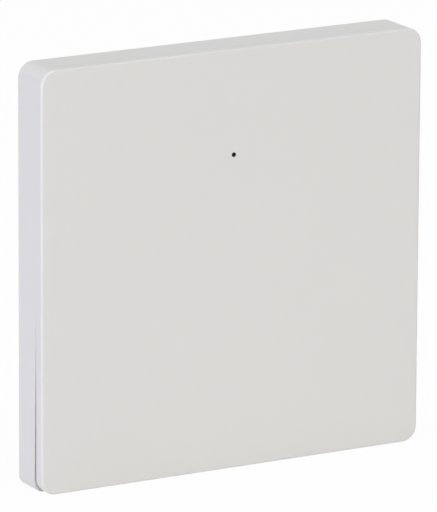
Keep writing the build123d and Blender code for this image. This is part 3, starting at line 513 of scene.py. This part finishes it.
# The world is white where it is seen, and a weak fill light elsewhere
skyLight = {"strength": 0.36, "colour": (1.0, 1.0, 1.0), "background": 1.0}
world = bpy.data.worlds.new("studioWorld")
bpy.context.scene.world = world
world.use_nodes = True
worldTree = world.node_tree
worldTree.nodes.clear()
worldOut = worldTree.nodes.new("ShaderNodeOutputWorld")
skyShader = worldTree.nodes.new("ShaderNodeBackground")
skyShader.inputs["Color"].default_value = (*skyLight["colour"], 1.0)
skyShader.inputs["Strength"].default_value = skyLight["strength"]
seenShader = worldTree.nodes.new("ShaderNodeBackground")
seenShader.inputs["Strength"].default_value = skyLight["background"]
skyMix = worldTree.nodes.new("ShaderNodeMixShader")
worldTree.links.new(anyDirectRay(worldTree), skyMix.inputs["Fac"])
worldTree.links.new(skyShader.outputs["Background"], skyMix.inputs[1])
worldTree.links.new(seenShader.outputs["Background"], skyMix.inputs[2])
worldTree.links.new(skyMix.outputs["Shader"], worldOut.inputs["Surface"])

# Paper floor, which keeps a faint shadow where it is seen
floorLook = {
    "size": 12.0, "colour": (0.86, 0.86, 0.86), "fibre": (300, 3), "tone": 0.99,
    "gloss": 0.9, "specular": 0.1, "whiteShare": 0.96,
}
deselectAll()
bpy.ops.mesh.primitive_plane_add(size=floorLook["size"], location=(0, 0, cadBox[0].z))
floor = bpy.context.object
floor.name = "studioFloor"
floorFinish, floorTree, floorShader, floorPlace = startFinish("floorPaper")
floorShader.inputs["Roughness"].default_value = floorLook["gloss"]
floorShader.inputs["Specular IOR Level"].default_value = floorLook["specular"]
fibre = noise(floorTree, floorPlace, *floorLook["fibre"])
darker = shade(floorLook["colour"], floorLook["tone"])
paper = mixColours(floorTree, fibre, darker, floorLook["colour"])
floorTree.links.new(paper, floorShader.inputs["Base Color"])
glow = floorTree.nodes.new("ShaderNodeEmission")
whitened = combined(floorTree, "MULTIPLY", anyDirectRay(floorTree), floorLook["whiteShare"])
floorMix = floorTree.nodes.new("ShaderNodeMixShader")
floorTree.links.new(whitened, floorMix.inputs["Fac"])
floorTree.links.new(floorShader.outputs["BSDF"], floorMix.inputs[1])
floorTree.links.new(glow.outputs["Emission"], floorMix.inputs[2])
floorOut = next(node for node in floorTree.nodes if node.type == "OUTPUT_MATERIAL")
floorTree.links.new(floorMix.outputs["Shader"], floorOut.inputs["Surface"])
floor.data.materials.append(floorFinish)
bpy.context.scene.view_settings.view_transform = "Standard"
print("camera, light and floor set")


# Smooth shading that keeps flat faces flat, then the finish and what the piece rides on
replaced = set()


def finishPiece(piece, slotName, body, *stoodFor):
    piece.data.materials.clear()
    piece.data.materials.append(finishes[slotName])
    makeActive(piece)
    bpy.ops.object.shade_smooth_by_angle(angle=smoothAngle)
    evenShading = piece.modifiers.new("evenShading", "WEIGHTED_NORMAL")
    evenShading.keep_sharp = True
    applyModifiers(piece)
    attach(piece, body)
    if stoodFor:
        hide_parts(*stoodFor)
        replaced.update(stoodFor)


# Soft-edged copies of the moulded and stamped pieces, with the width of the rounding in millimetres.
# Edges shorter than shortestEdge are facets of small holes and stay crisp. The frame's low outer
# corners, beyond "cornerZone", have arcs of shorter facets, which are rounded too.
edgeSteps, shortestEdge = 3, 0.4
sharpAngle, flatAngle, quadAngle = math.radians(32), 0.01, math.radians(0.5)
softEdges = {
    "key_plate": {"piece": "keyPlate", "width": 0.10},
    "base_frame": {"piece": "baseFrame", "width": 0.10, "cornerZone": 40.9, "cornerShortest": 0.26},
    "rear_housing": {"piece": "rearHousing", "width": 0.18},
    "terminal_block": {"piece": "terminalBlock", "width": 0.12},
    "mechanism_cover": {"piece": "mechanismCover", "width": 0.12},
    "control_board": {"piece": "controlBoard", "width": 0.05},
    "power_board": {"piece": "powerBoard", "width": 0.05},
    "radio_board": {"piece": "radioBoard", "width": 0.04},
    "radio_shield": {"piece": "radioShield", "width": 0.25},
    "link_header": {"piece": "linkHeader", "width": 0.10},
    "link_socket": {"piece": "linkSocket", "width": 0.10},
    "link_pins": {"piece": "linkPins", "width": 0.08},
    "spacer_sleeves": {"piece": "spacerSleeves", "width": 0.10},
    "stop_pads": {"piece": "stopPads", "width": 0.18},
    "tact_switch": {"piece": "tactBody", "width": 0.10},
    "status_led": {"piece": "statusLed", "width": 0.08},
    "processor": {"piece": "processorChip", "width": 0.06},
    "bridge_rectifier": {"piece": "bridgeRectifier", "width": 0.12},
    "converter_chip": {"piece": "converterChip", "width": 0.12},
    "terminal_bars": {"piece": "terminalBars", "width": 0.10},
    "terminal_clamp_1": {"piece": "terminalClamp1", "width": 0.10},
    "terminal_clamp_2": {"piece": "terminalClamp2", "width": 0.10},
    "terminal_clamp_3": {"piece": "terminalClamp3", "width": 0.10},
    "relay_base": {"piece": "relayBase", "width": 0.15},
    "relay_case": {"piece": "relayCase", "width": 0.20},
    "relay_yoke": {"piece": "relayYoke", "width": 0.10},
    "relay_bobbin": {"piece": "relayBobbin", "width": 0.10},
    "relay_armature": {"piece": "relayArmature", "width": 0.10},
    "relay_moving_contact": {"piece": "relayMovingContact", "width": 0.04},
    "transformer_base": {"piece": "transformerBase", "width": 0.15},
    "transformer_core": {"piece": "transformerCore", "width": 0.15},
    "transformer_winding": {"piece": "transformerWinding", "width": 0.20},
    "filter_capacitor": {"piece": "filterCapacitor", "width": 0.25},
    "fuse": {"piece": "fuseBody", "width": 0.20},
}


def softCopy(nodeName, look):
    source = nodes[nodeName]
    piece = addObject(look["piece"], source.data.copy())
    piece.data.materials.clear()
    makeActive(piece)
    # the copy's own corner normals would keep edges from being marked sharp later
    bpy.ops.mesh.customdata_custom_splitnormals_clear()
    bpy.ops.object.shade_smooth()
    bpy.ops.object.mode_set(mode="EDIT")
    bpy.ops.mesh.select_all(action="SELECT")
    bpy.ops.mesh.remove_doubles(threshold=mergeDistance)
    bpy.ops.mesh.tris_convert_to_quads(face_threshold=quadAngle, shape_threshold=math.pi)
    bpy.ops.object.mode_set(mode="OBJECT")
    shape = bmesh.new()
    shape.from_mesh(piece.data)
    weight = shape.edges.layers.float.new("bevel_weight_edge")
    zone = look.get("cornerZone", math.inf) * mm

    def inZone(edge):
        return any(abs(v.co.x) > zone and v.co.z < -zone for v in edge.verts)

    flat = [edge for edge in shape.edges if inZone(edge) and edge.calc_face_angle(1) < flatAngle]
    bmesh.ops.dissolve_edges(shape, edges=flat, use_verts=False)
    for edge in shape.edges:
        outer = len(edge.link_faces) == 2 and edge.is_convex
        shortest = look["cornerShortest"] if inZone(edge) else shortestEdge
        if outer and edge.calc_face_angle() > sharpAngle and edge.calc_length() > shortest * mm:
            edge[weight] = 1.0
    shape.to_mesh(piece.data)
    shape.free()
    softEdge = piece.modifiers.new("softEdge", "BEVEL")
    softEdge.width = look["width"] * mm
    softEdge.segments = edgeSteps
    softEdge.limit_method = "WEIGHT"
    softEdge.use_clamp_overlap = False
    applyModifiers(piece)
    finishPiece(piece, slotOf[nodeName], source["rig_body"], nodeName)


for nodeName, look in softEdges.items():
    softCopy(nodeName, look)
print("soft-edged pieces:", len(softEdges))


# Helpers for the turned, threaded and wound pieces. Sizes and places are in millimetres.

def newPiece(name, points, edges, faces):
    mesh = bpy.data.meshes.new(name)
    mesh.from_pydata(points, edges, faces)
    piece = addObject(name, mesh)
    makeActive(piece)
    return piece


# As on a lathe: the profile's points are (distance from the axis, height along it)
def turned(name, profile, foot, axis, outward, steps=48, ring=False):
    centre = inMetres(foot)
    points = [
        centre + (Vector(outward) * away + Vector(axis) * height) * mm for away, height in profile
    ]
    edges = [(n, n + 1) for n in range(len(points) - 1)]
    if ring:
        edges.append((len(points) - 1, 0))
    piece = newPiece(name, points, edges, [])
    bpy.ops.object.mode_set(mode="EDIT")
    bpy.ops.mesh.select_all(action="SELECT")
    bpy.ops.mesh.spin(steps=steps, angle=2 * math.pi, center=centre, axis=axis)
    closeShell()
    return piece


# Cuts a right-hand thread into the rings of a turned shank
def cutThread(piece, foot, axis, outward, thread):
    axis, outward, centre = Vector(axis), Vector(outward), inMetres(foot)
    beside = axis.cross(outward)
    radius, pitch = thread["radius"] * mm, thread["pitch"] * mm
    start, end = thread["start"] * mm, thread["end"] * mm
    tolerance = 0.01 * mm
    for vertex in piece.data.vertices:
        arm = vertex.co - centre
        height = arm.dot(axis)
        spoke = arm - axis * height
        if start < height < end and abs(spoke.length - radius) < tolerance:
            around = math.atan2(spoke.dot(beside), spoke.dot(outward)) / (2 * math.pi)
            groove = 1 - abs(2 * ((height / pitch - around) % 1) - 1)
            fade = min(1, (height - start) / pitch, (end - height) / pitch)
            vertex.co -= spoke.normalized() * thread["depth"] * mm * groove * fade


def cutAway(piece, cutter, operation="DIFFERENCE"):
    cut = piece.modifiers.new("cut", "BOOLEAN")
    cut.object = cutter
    cut.operation = operation
    cut.solver = "EXACT"
    applyModifiers(piece)
    bpy.data.objects.remove(cutter)


def merge(piece, other):
    cutAway(piece, other, "UNION")


# A block at a place; its far face in +Y may be drawn in
def block(name, middle, size, drawnIn=1.0):
    deselectAll()
    midX, midY, midZ = (v * mm for v in middle)
    scale = [v * mm for v in size]
    bpy.ops.mesh.primitive_cube_add(size=1, location=(midX, midY, midZ), scale=scale)
    piece = bpy.context.object
    piece.name = name
    bpy.ops.object.transform_apply(location=True, rotation=False, scale=True)
    for vertex in piece.data.vertices:
        if vertex.co.y > midY:
            vertex.co.x = midX + (vertex.co.x - midX) * drawnIn
            vertex.co.z = midZ + (vertex.co.z - midZ) * drawnIn
    return piece


# Two slots crossed at a place, each (span, width) wide and deep in Y
def cutCross(piece, name, middle, cross, deep, drawnIn=1.0):
    for sizeX, sizeZ in ((cross["span"], cross["width"]), (cross["width"], cross["span"])):
        cutAway(piece, block(name, middle, (sizeX, deep, sizeZ), drawnIn))


def softened(piece, width):
    soften = piece.modifiers.new("soften", "BEVEL")
    soften.width = width * mm
    soften.segments = 2
    soften.limit_method = "ANGLE"
    soften.angle_limit = smoothAngle
    applyModifiers(piece)
    return piece


def joined(name, parts):
    makeActive(parts[0])
    for part in parts:
        part.select_set(True)
    bpy.ops.object.join()
    parts[0].name = name
    return parts[0]


# Copies one modelled piece by several shifts from where it stands, as one piece
def repeated(piece, shifts):
    copies = []
    for shift in shifts:
        twin = addObject(piece.name, piece.data.copy())
        twin.data.transform(Matrix.Translation(inMetres(shift)))
        copies.append(twin)
    name = piece.name
    bpy.data.objects.remove(piece)
    return joined(name, copies)


# Terminal screws: cheese heads with a driver slot, and a thread that meets the cage's travel
terminalScrew = {
    "poles": ((1, -10.0), (2, 0.0), (3, 10.0)),
    "headRadius": 1.9, "headHeight": 1.6, "headLow": -25.6, "tip": -18.2, "axisY": 20.0,
    "rounding": [(0.12, 0), (0.03, 0.04), (0, 0.13)],  # in from the side, up from the end
    "neck": 0.1, "neckHeight": 0.05, "pointRadius": 1.2, "pointHeight": 0.2,
    "slotSpan": 5, "slotWidth": 0.7, "slotDepth": 0.8, "slotClear": 0.4, "ringStep": 0.125,
    "thread": {"radius": 1.5, "pitch": 0.5, "depth": 0.27, "start": 1.7, "end": 7.2},
}
look = terminalScrew
head, headHeight, shank = look["headRadius"], look["headHeight"], look["thread"]["radius"]
length = look["tip"] - look["headLow"]
rings = int((length - look["pointHeight"] - headHeight) / look["ringStep"])
shankLow = headHeight + look["neckHeight"]
profile = [(0, 0)]
profile += [(head - inwards, rise) for inwards, rise in look["rounding"]]
profile += [(head - inwards, headHeight - rise) for inwards, rise in reversed(look["rounding"])]
profile += [(shank + look["neck"], headHeight)]
profile += [(shank, shankLow + n * look["ringStep"]) for n in range(rings + 1)]
profile += [(look["pointRadius"], length), (0, length)]
slotDeep = look["slotDepth"] + look["slotClear"]
slotSize = (look["slotSpan"], look["slotWidth"], slotDeep)
slotZ = look["headLow"] + look["slotDepth"] - slotDeep / 2
for number, poleX in look["poles"]:
    foot = (poleX, look["axisY"], look["headLow"])
    screw = turned(f"terminalScrew{number}", profile, foot, upwards, sideways)
    cutThread(screw, foot, upwards, sideways, look["thread"])
    cutAway(screw, block("slotCutter", (poleX, look["axisY"], slotZ), slotSize))
    finishPiece(screw, "zinc_steel", f"screw_{number}", f"terminal_screw_{number}")

# Case screws: countersunk heads with a cross recess, and a coarse thread for the plastic posts
caseScrew = {
    "places": [(x, z) for x in (-19.8, 19.8) for z in (-23.79, 23.79)],
    "front": -5.5, "length": 11.6, "ringStep": 0.18, "steps": 32,
    "head": [(0, 0), (1.85, 0), (1.9, 0.05), (1.84, 0.13), (1.05, 0.9)],
    "shankFrom": 1.1, "shankShorter": 1.6,
    "point": [(0.8, -0.25), (0.35, 0), (0, 0)],  # share of the shank's radius, up from the end
    "recess": {"span": 2.0, "width": 0.5, "depth": 0.6, "clear": 0.2, "drawnIn": 0.62},
    "thread": {"radius": 1.0, "pitch": 0.72, "depth": 0.24, "start": 4.6, "end": 11.5},
}
look = caseScrew
shank, length, recess = look["thread"]["radius"], look["length"], look["recess"]
rings = int((length - look["shankShorter"]) / look["ringStep"])
profile = list(look["head"])
profile += [(shank, look["shankFrom"] + n * look["ringStep"]) for n in range(rings + 1)]
profile += [(shank * share, length + rise) for share, rise in look["point"]]
firstX, firstZ = look["places"][0]
headFront = (firstX, look["front"], firstZ)
screw = turned("caseScrews", profile, headFront, towardsWall, upwards, steps=look["steps"])
cutThread(screw, headFront, towardsWall, upwards, look["thread"])
recessDeep = recess["depth"] + recess["clear"]
recessMiddle = (firstX, look["front"] + recess["depth"] / 2 - recess["clear"] / 2, firstZ)
cutCross(screw, "recessCutter", recessMiddle, recess, recessDeep, recess["drawnIn"])
screw = repeated(screw, [(x - firstX, 0, z - firstZ) for x, z in look["places"]])
finishPiece(screw, "zinc_steel", "switch_base", "case_screws")
print("screws threaded")

# Relay coil: wire turns side by side on the bobbin
relayCoil = {
    "start": (-19.25, 18.25, -2.0), "length": 8.0, "turns": 32, "inner": 2.15, "outer": 4.0,
    "dip": 0.10, "steps": 40,
    "turnShape": [(0, 1), (0.2, 0.25), (0.5, 0), (0.8, 0.25)],  # along the turn, share of the dip
}
look = relayCoil
wire = look["length"] / look["turns"]
profile = [(look["inner"], 0)]
for n in range(look["turns"]):
    for along, share in look["turnShape"]:
        profile.append((look["outer"] - look["dip"] * share, (n + along) * wire))
profile += [(look["outer"] - look["dip"], look["length"]), (look["inner"], look["length"])]
coil = turned("relayCoil", profile, look["start"], sideways, upwards, look["steps"], ring=True)
finishPiece(coil, "copper_wire", "switch_base", "relay_winding")

# Storage capacitor: sleeved can with its crimp, and the bare top with a scored vent
storageCan = {
    "foot": (16.0, 10.6, 11.0),
    "sleeve": [
        (0, 0), (3.30, 0), (3.42, 0.22), (3.80, 0.34), (3.97, 0.55), (4.0, 0.8), (4.0, 1.7),
        (3.93, 1.9), (3.70, 2.05), (3.60, 2.25), (3.60, 2.35), (3.70, 2.55), (3.93, 2.7),
        (4.0, 2.9), (4.0, 11.7), (3.94, 12.0), (3.78, 12.22), (3.52, 12.34), (3.22, 12.36),
        (3.20, 12.25), (0, 12.25),
    ],
    "top": [(0, 12.1), (3.18, 12.1), (3.18, 12.28), (3.08, 12.38), (2.92, 12.42), (0, 12.42)],
    "score": {"span": 4.2, "width": 0.22, "depth": 0.10, "cutter": 1.0},
}
look, score = storageCan, storageCan["score"]
footX, footY, footZ = look["foot"]
sleeve = turned("storageCapacitor", look["sleeve"], look["foot"], towardsWall, upwards)
finishPiece(sleeve, "capacitor_sleeve", "switch_base", "storage_capacitor")
top = turned("capacitorTop", look["top"], look["foot"], towardsWall, upwards)
scoreY = footY + look["top"][-1][1] + score["cutter"] / 2 - score["depth"]
cutCross(top, "scoreCutter", (footX, scoreY, footZ), score, score["cutter"])
finishPiece(top, "shield_metal", "switch_base")

# Varistor: dipped disc whose coating runs down its two leads
varistor = {
    "middle": (-9.5, 14.7, 17.3), "boardY": 10.6, "leads": 2.5, "leadRadius": 0.3, "bare": 1.0,
    "disc": [
        (0, 0), (2.5, 0), (3.0, 0.12), (3.35, 0.45), (3.48, 0.95), (3.5, 1.2), (3.5, 2.2),
        (3.48, 2.45), (3.35, 2.95), (3.0, 3.28), (2.5, 3.4), (0, 3.4),
    ],
    "run": [
        (0, 0.9), (0.36, 0.9), (0.40, 1.1), (0.52, 1.35), (0.80, 1.65), (0.98, 1.95),
        (0.98, 2.6), (0, 2.6),
    ],
    "runSteps": 24, "leadSteps": 16,
}
look = varistor
middleX, _, lowZ = look["middle"]
leadZ = lowZ + look["disc"][-1][1] / 2
radius, bare = look["leadRadius"], look["bare"]
pin = [(0, 0), (radius, 0), (radius, bare), (0, bare)]
disc = turned("varistorDisc", look["disc"], look["middle"], upwards, towardsWall)
leads = []
for way in (-1, 1):
    foot = (middleX + way * look["leads"], look["boardY"], leadZ)
    merge(disc, turned("coatRun", look["run"], foot, towardsWall, sideways, look["runSteps"]))
    lead = turned("varistorLeads", pin, foot, towardsWall, sideways, look["leadSteps"])
    leads.append(lead)
finishPiece(disc, "varistor_coat", "switch_base", "varistor")
finishPiece(joined("varistorLeads", leads), "shield_metal", "switch_base")

# Dark sleeve lining the key's pinhole: painted shade, a dark piece that makes the hole as dark as the
# shade in it
pinholeShadeSleeve = {
    "front": (0, -9.74, 21.6),
    "profile": [(0.40, 0), (0.40, 1.45), (0.475, 1.45), (0.475, 0.04), (0.435, 0)],
}
look = pinholeShadeSleeve
sleeve = turned("pinholeShadeSleeve", look["profile"], look["front"], towardsWall, upwards, ring=True)
finishPiece(sleeve, "terminal_plastic", nodes["key_plate"]["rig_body"])

# Light guide with its collar
lightGuide = {
    "rear": (0, -4.15, 21.6),
    "profile": [
        (0, 0), (0.94, 0), (1.0, 0.06), (1.0, 1.45), (1.66, 1.45), (1.7, 1.49), (1.7, 1.99),
        (1.64, 2.05), (1.12, 2.05), (1.0, 2.17), (1.0, 3.75), (0.97, 3.82), (0.9, 3.85), (0, 3.85),
    ],
}
guide = turned("lightGuide", lightGuide["profile"], lightGuide["rear"], towardsRoom, upwards)
finishPiece(guide, "clear_guide", "switch_base", "light_guide")

# Plunger of the push button, with its worn-in dish
tactPlunger = {
    "rear": (0, -4.3, -21.0),
    "profile": [
        (0, 0), (1.62, 0), (1.7, 0.08), (1.7, 1.7), (1.67, 1.80), (1.6, 1.87), (1.5, 1.9),
        (1.25, 1.9), (1.1, 1.86), (0, 1.84),
    ],
}
plunger = turned("tactPlunger", tactPlunger["profile"], tactPlunger["rear"], towardsRoom, upwards)
finishPiece(plunger, "button_plastic", nodes["tact_plunger"]["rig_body"], "tact_plunger")

# Return spring: round wire with closed ends at the lower edge of the key; in the product it shortens
# as that edge goes in, and here it is built at one length
returnSpring = {
    "rear": -2.33, "front": -8.0, "z": -35.35, "radius": 2.0, "wire": 0.25, "wireSteps": 3,
    "closedTurns": 1.0, "openTurns": 3.0, "closedPitch": 1.02,  # in wire widths
    "pointsPerTurn": 24, "travelShare": 0.9055,
}
look = returnSpring
closedTurns, openTurns = look["closedTurns"], look["openTurns"]
allTurns = 2 * closedTurns + openTurns
closedRise = 2 * look["wire"] * look["closedPitch"]
openRise = (look["rear"] - look["front"] - 2 * closedTurns * closedRise) / openTurns
coilPoints = []
for n in range(int(allTurns * look["pointsPerTurn"]) + 1):
    turn = n / look["pointsPerTurn"]
    closedSoFar = min(turn, closedTurns) + max(0.0, turn - closedTurns - openTurns)
    depth = look["rear"] - closedSoFar * closedRise - (turn - closedSoFar) * openRise
    spoke = (math.cos(turn * 2 * math.pi), math.sin(turn * 2 * math.pi))
    coilPoints.append((look["radius"] * spoke[0], depth, look["z"] + look["radius"] * spoke[1]))
wireCurve = bpy.data.curves.new("returnSpring", "CURVE")
wireCurve.dimensions = "3D"
wireCurve.bevel_depth = look["wire"] * mm
wireCurve.bevel_resolution = look["wireSteps"]
wireCurve.use_fill_caps = True
line = wireCurve.splines.new("POLY")
line.points.add(len(coilPoints) - 1)
for point, place in zip(line.points, coilPoints):
    point.co = (*inMetres(place), 1.0)
makeActive(addObject("returnSpring", wireCurve))
bpy.ops.object.convert(target="MESH")
spring = bpy.context.object
closeShell()
finishPiece(spring, "spring_steel", "switch_base", "return_spring")
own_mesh(spring)
print("coil, capacitor and spring made")


# What stands on the boards; the three faces are at these depths
controlFront, powerFront, powerRear = -3.2, 9.0, 10.6

# Solder: small cones where pins go through, given as (x, z) places on one face of a board
solder = {
    "cone": [
        (0, 0), (0.95, 0), (0.78, 0.06), (0.60, 0.18), (0.48, 0.36), (0.42, 0.52), (0.30, 0.60),
        (0, 0.62),
    ],
    "linkCone": [(0, 0), (0.60, 0), (0.52, 0.05), (0.44, 0.14), (0.40, 0.25), (0, 0.26)],
    "tailCone": [
        (0, 0), (1.32, 0), (1.14, 0.08), (0.98, 0.2), (0.90, 0.34), (0.6, 0.42), (0, 0.44),
    ],
    "linkRow": [(-2.35 + n * 2.54, 11.0) for n in range(6)],
    "barTails": [(x, -17.4) for x in (-10, 0, 10)],
    "relayPins": [(-19.6, -5.6), (-19.6, 1.6), (-6.0, -6.6), (-6.0, 3.0), (-12.4, 3.4)],
    "transformerPins": [(x, z) for x in (6.6, 9.9, 13.1, 16.4) for z in (-7.2, 1.2)],
    "leadPairs": [
        (14.2, 11), (17.8, 11), (-14.5, 11), (-5.2, 11), (0.5, 18), (5.5, 18), (-12, 19), (-7, 19),
    ],
    "steps": 20,
}


def solderRow(name, cone, places, faceY, outward):
    firstX, firstZ = places[0]
    joint = turned(name, cone, (firstX, faceY, firstZ), outward, upwards, solder["steps"])
    return repeated(joint, [(x - firstX, 0, z - firstZ) for x, z in places])


throughPins = solder["relayPins"] + solder["transformerPins"] + solder["leadPairs"]
joints = joined("solderJoints", [
    solderRow("frontJoints", solder["cone"], throughPins, powerFront, towardsRoom),
    solderRow("tailJoints", solder["tailCone"], solder["barTails"], powerFront, towardsRoom),
    solderRow("linkRear", solder["linkCone"], solder["linkRow"], powerRear, towardsWall),
    solderRow("linkFront", solder["linkCone"], solder["linkRow"], controlFront, towardsRoom),
])
finishPiece(joints, "shield_metal", "switch_base")

# Gull-wing legs of the two chips on the power board: a bent strip, thickened
chipLegs = {
    "width": 0.42, "thickness": 0.16, "round": 0.04,
    "path": [(-0.05, 8.25), (0.24, 8.25), (0.36, 8.86), (0.80, 8.90)],  # away from the body, depth
    "rows": [
        {"xs": (-1.905, -0.635, 0.635, 1.905), "high": -12.0, "low": -16.0},
        {"xs": (8.75, 11.25), "high": -12.1, "low": -15.9},
    ],
}


def chipLeg(x, edgeZ, way):
    half, path = chipLegs["width"] / 2, chipLegs["path"]
    points = [
        inMetres((x + side * half, depth, edgeZ + way * away))
        for away, depth in path for side in (-1, 1)
    ]
    faces = [(2 * n, 2 * n + 1, 2 * n + 3, 2 * n + 2) for n in range(len(path) - 1)]
    leg = newPiece("chipLeg", points, [], faces)
    thicken = leg.modifiers.new("thicken", "SOLIDIFY")
    thicken.thickness = chipLegs["thickness"] * mm
    thicken.offset = 0
    applyModifiers(leg)
    return leg


legs = joined("chipLegs", [
    chipLeg(x, edgeZ, way)
    for row in chipLegs["rows"] for x in row["xs"]
    for edgeZ, way in ((row["high"], 1), (row["low"], -1))
])
closeShell(merging=False)
finishPiece(softened(legs, chipLegs["round"]), "shield_metal", "switch_base")

# Chip resistors and capacitors with tinned ends: (x, z, turned) on the face of each board
smallParts = {
    "size": (1.1, 0.45, 0.8), "round": 0.05,
    "end": (0.32, 0.50, 0.84), "endRound": 0.06, "overlap": 0.02,
    "control": [
        (-16.8, 4.0, 1), (-7.2, 4.0, 1), (-12.0, 8.8, 0), (-12.0, -0.8, 0), (-9.0, -3.2, 0),
        (4.6, 21.6, 1), (6.4, -21.0, 1), (-6.4, -21.0, 1), (9.0, 5.0, 0), (9.0, 3.4, 0),
        (9.0, 1.8, 0), (-16.8, -2.0, 1),
    ],
    "power": [
        (-5.8, -14.0, 1), (-7.6, -14.0, 1), (5.2, -14.6, 1), (5.2, -12.2, 1), (15.2, -13.0, 0),
        (15.2, -14.8, 0), (0.0, -8.6, 0), (2.6, -8.6, 0), (-2.6, -8.6, 0), (12.0, -9.6, 0),
    ],
}


def smallPart(x, z, turnedRound, faceY):
    look = smallParts
    bodySize, endSize = look["size"], look["end"]
    reach = (bodySize[0] + endSize[0]) / 2 - look["overlap"]
    reachX, reachZ = (0, reach) if turnedRound else (reach, 0)
    if turnedRound:
        bodySize, endSize = bodySize[::-1], endSize[::-1]
    bodyY, endY = faceY - bodySize[1] / 2, faceY - endSize[1] / 2
    body = softened(block("smallBody", (x, bodyY, z), bodySize), look["round"])
    ends = []
    for way in (-1, 1):
        end = block("smallEnd", (x + way * reachX, endY, z + way * reachZ), endSize)
        ends.append(softened(end, look["endRound"]))
    return body, ends


smallBodies, smallEnds = [], []
for faceY, places in ((controlFront, smallParts["control"]), (powerFront, smallParts["power"])):
    for x, z, turnedRound in places:
        body, ends = smallPart(x, z, turnedRound, faceY)
        smallBodies.append(body)
        smallEnds += ends
finishPiece(joined("smallParts", smallBodies), "black_plastic", "switch_base")
finishPiece(joined("smallPartEnds", smallEnds), "shield_metal", "switch_base")

# Steel plate on the push button, held by four rivets
tactPlate = {
    "z": -21.0, "y": -5.3, "side": 5.6, "thickness": 0.14, "round": 0.04,
    "hole": 1.86, "cutter": 0.5, "rivets": 2.15,
    "rivet": [(0, 0), (0.42, 0), (0.40, 0.08), (0.30, 0.13), (0, 0.15)],
}
look = tactPlate
side, thickness = look["side"], look["thickness"]
plate = block("tactPlate", (0, look["y"] - thickness / 2, look["z"]), (side, thickness, side))
softened(plate, look["round"])
hole, reach = look["hole"], look["cutter"]
holeProfile = [(0, -reach), (hole, -reach), (hole, reach), (0, reach)]
holeMiddle = (0, look["y"], look["z"])
cutAway(plate, turned("holeCutter", holeProfile, holeMiddle, towardsWall, upwards))
rivetPlaces = [(x * look["rivets"], look["z"] + z * look["rivets"]) for x in (-1, 1) for z in (-1, 1)]
rivets = solderRow("tactRivets", look["rivet"], rivetPlaces, look["y"] - thickness, towardsRoom)
finishPiece(joined("tactPlate", [plate, rivets]), "shield_metal", "switch_base")

# Meander antenna on the free end of the radio board
antenna = {
    "y": -1.2, "rise": 0.05, "line": 0.16, "drawnIn": 0.98,
    "path": [
        (4.2, -2.2), (4.2, 1.4), (5.6, 1.4), (5.6, -0.6), (7.0, -0.6), (7.0, 1.4), (8.4, 1.4),
        (8.4, -0.6), (9.8, -0.6), (9.8, 1.4), (11.2, 1.4), (11.2, -0.6), (12.6, -0.6),
        (12.6, 1.4), (14.0, 1.4),
    ],
}
look = antenna
strips = []
for (x1, z1), (x2, z2) in zip(look["path"], look["path"][1:]):
    middle = ((x1 + x2) / 2, look["y"] + look["rise"] / 2, (z1 + z2) / 2)
    size = (abs(x2 - x1) + 2 * look["line"], look["rise"], abs(z2 - z1) + 2 * look["line"])
    strips.append(block("antennaStrip", middle, size, look["drawnIn"]))
meander = strips.pop(0)
for strip in strips:
    merge(meander, strip)
meander.name = "radioAntenna"
finishPiece(meander, "plated_pins", "switch_base")
print("board details made")

# The CAD pieces whose shape is right only take their finish
for nodeName, thing in nodes.items():
    if nodeName not in replaced:
        thing.data.materials.clear()
        thing.data.materials.append(finishes[slotOf[nodeName]])
        print("carried over:", nodeName)
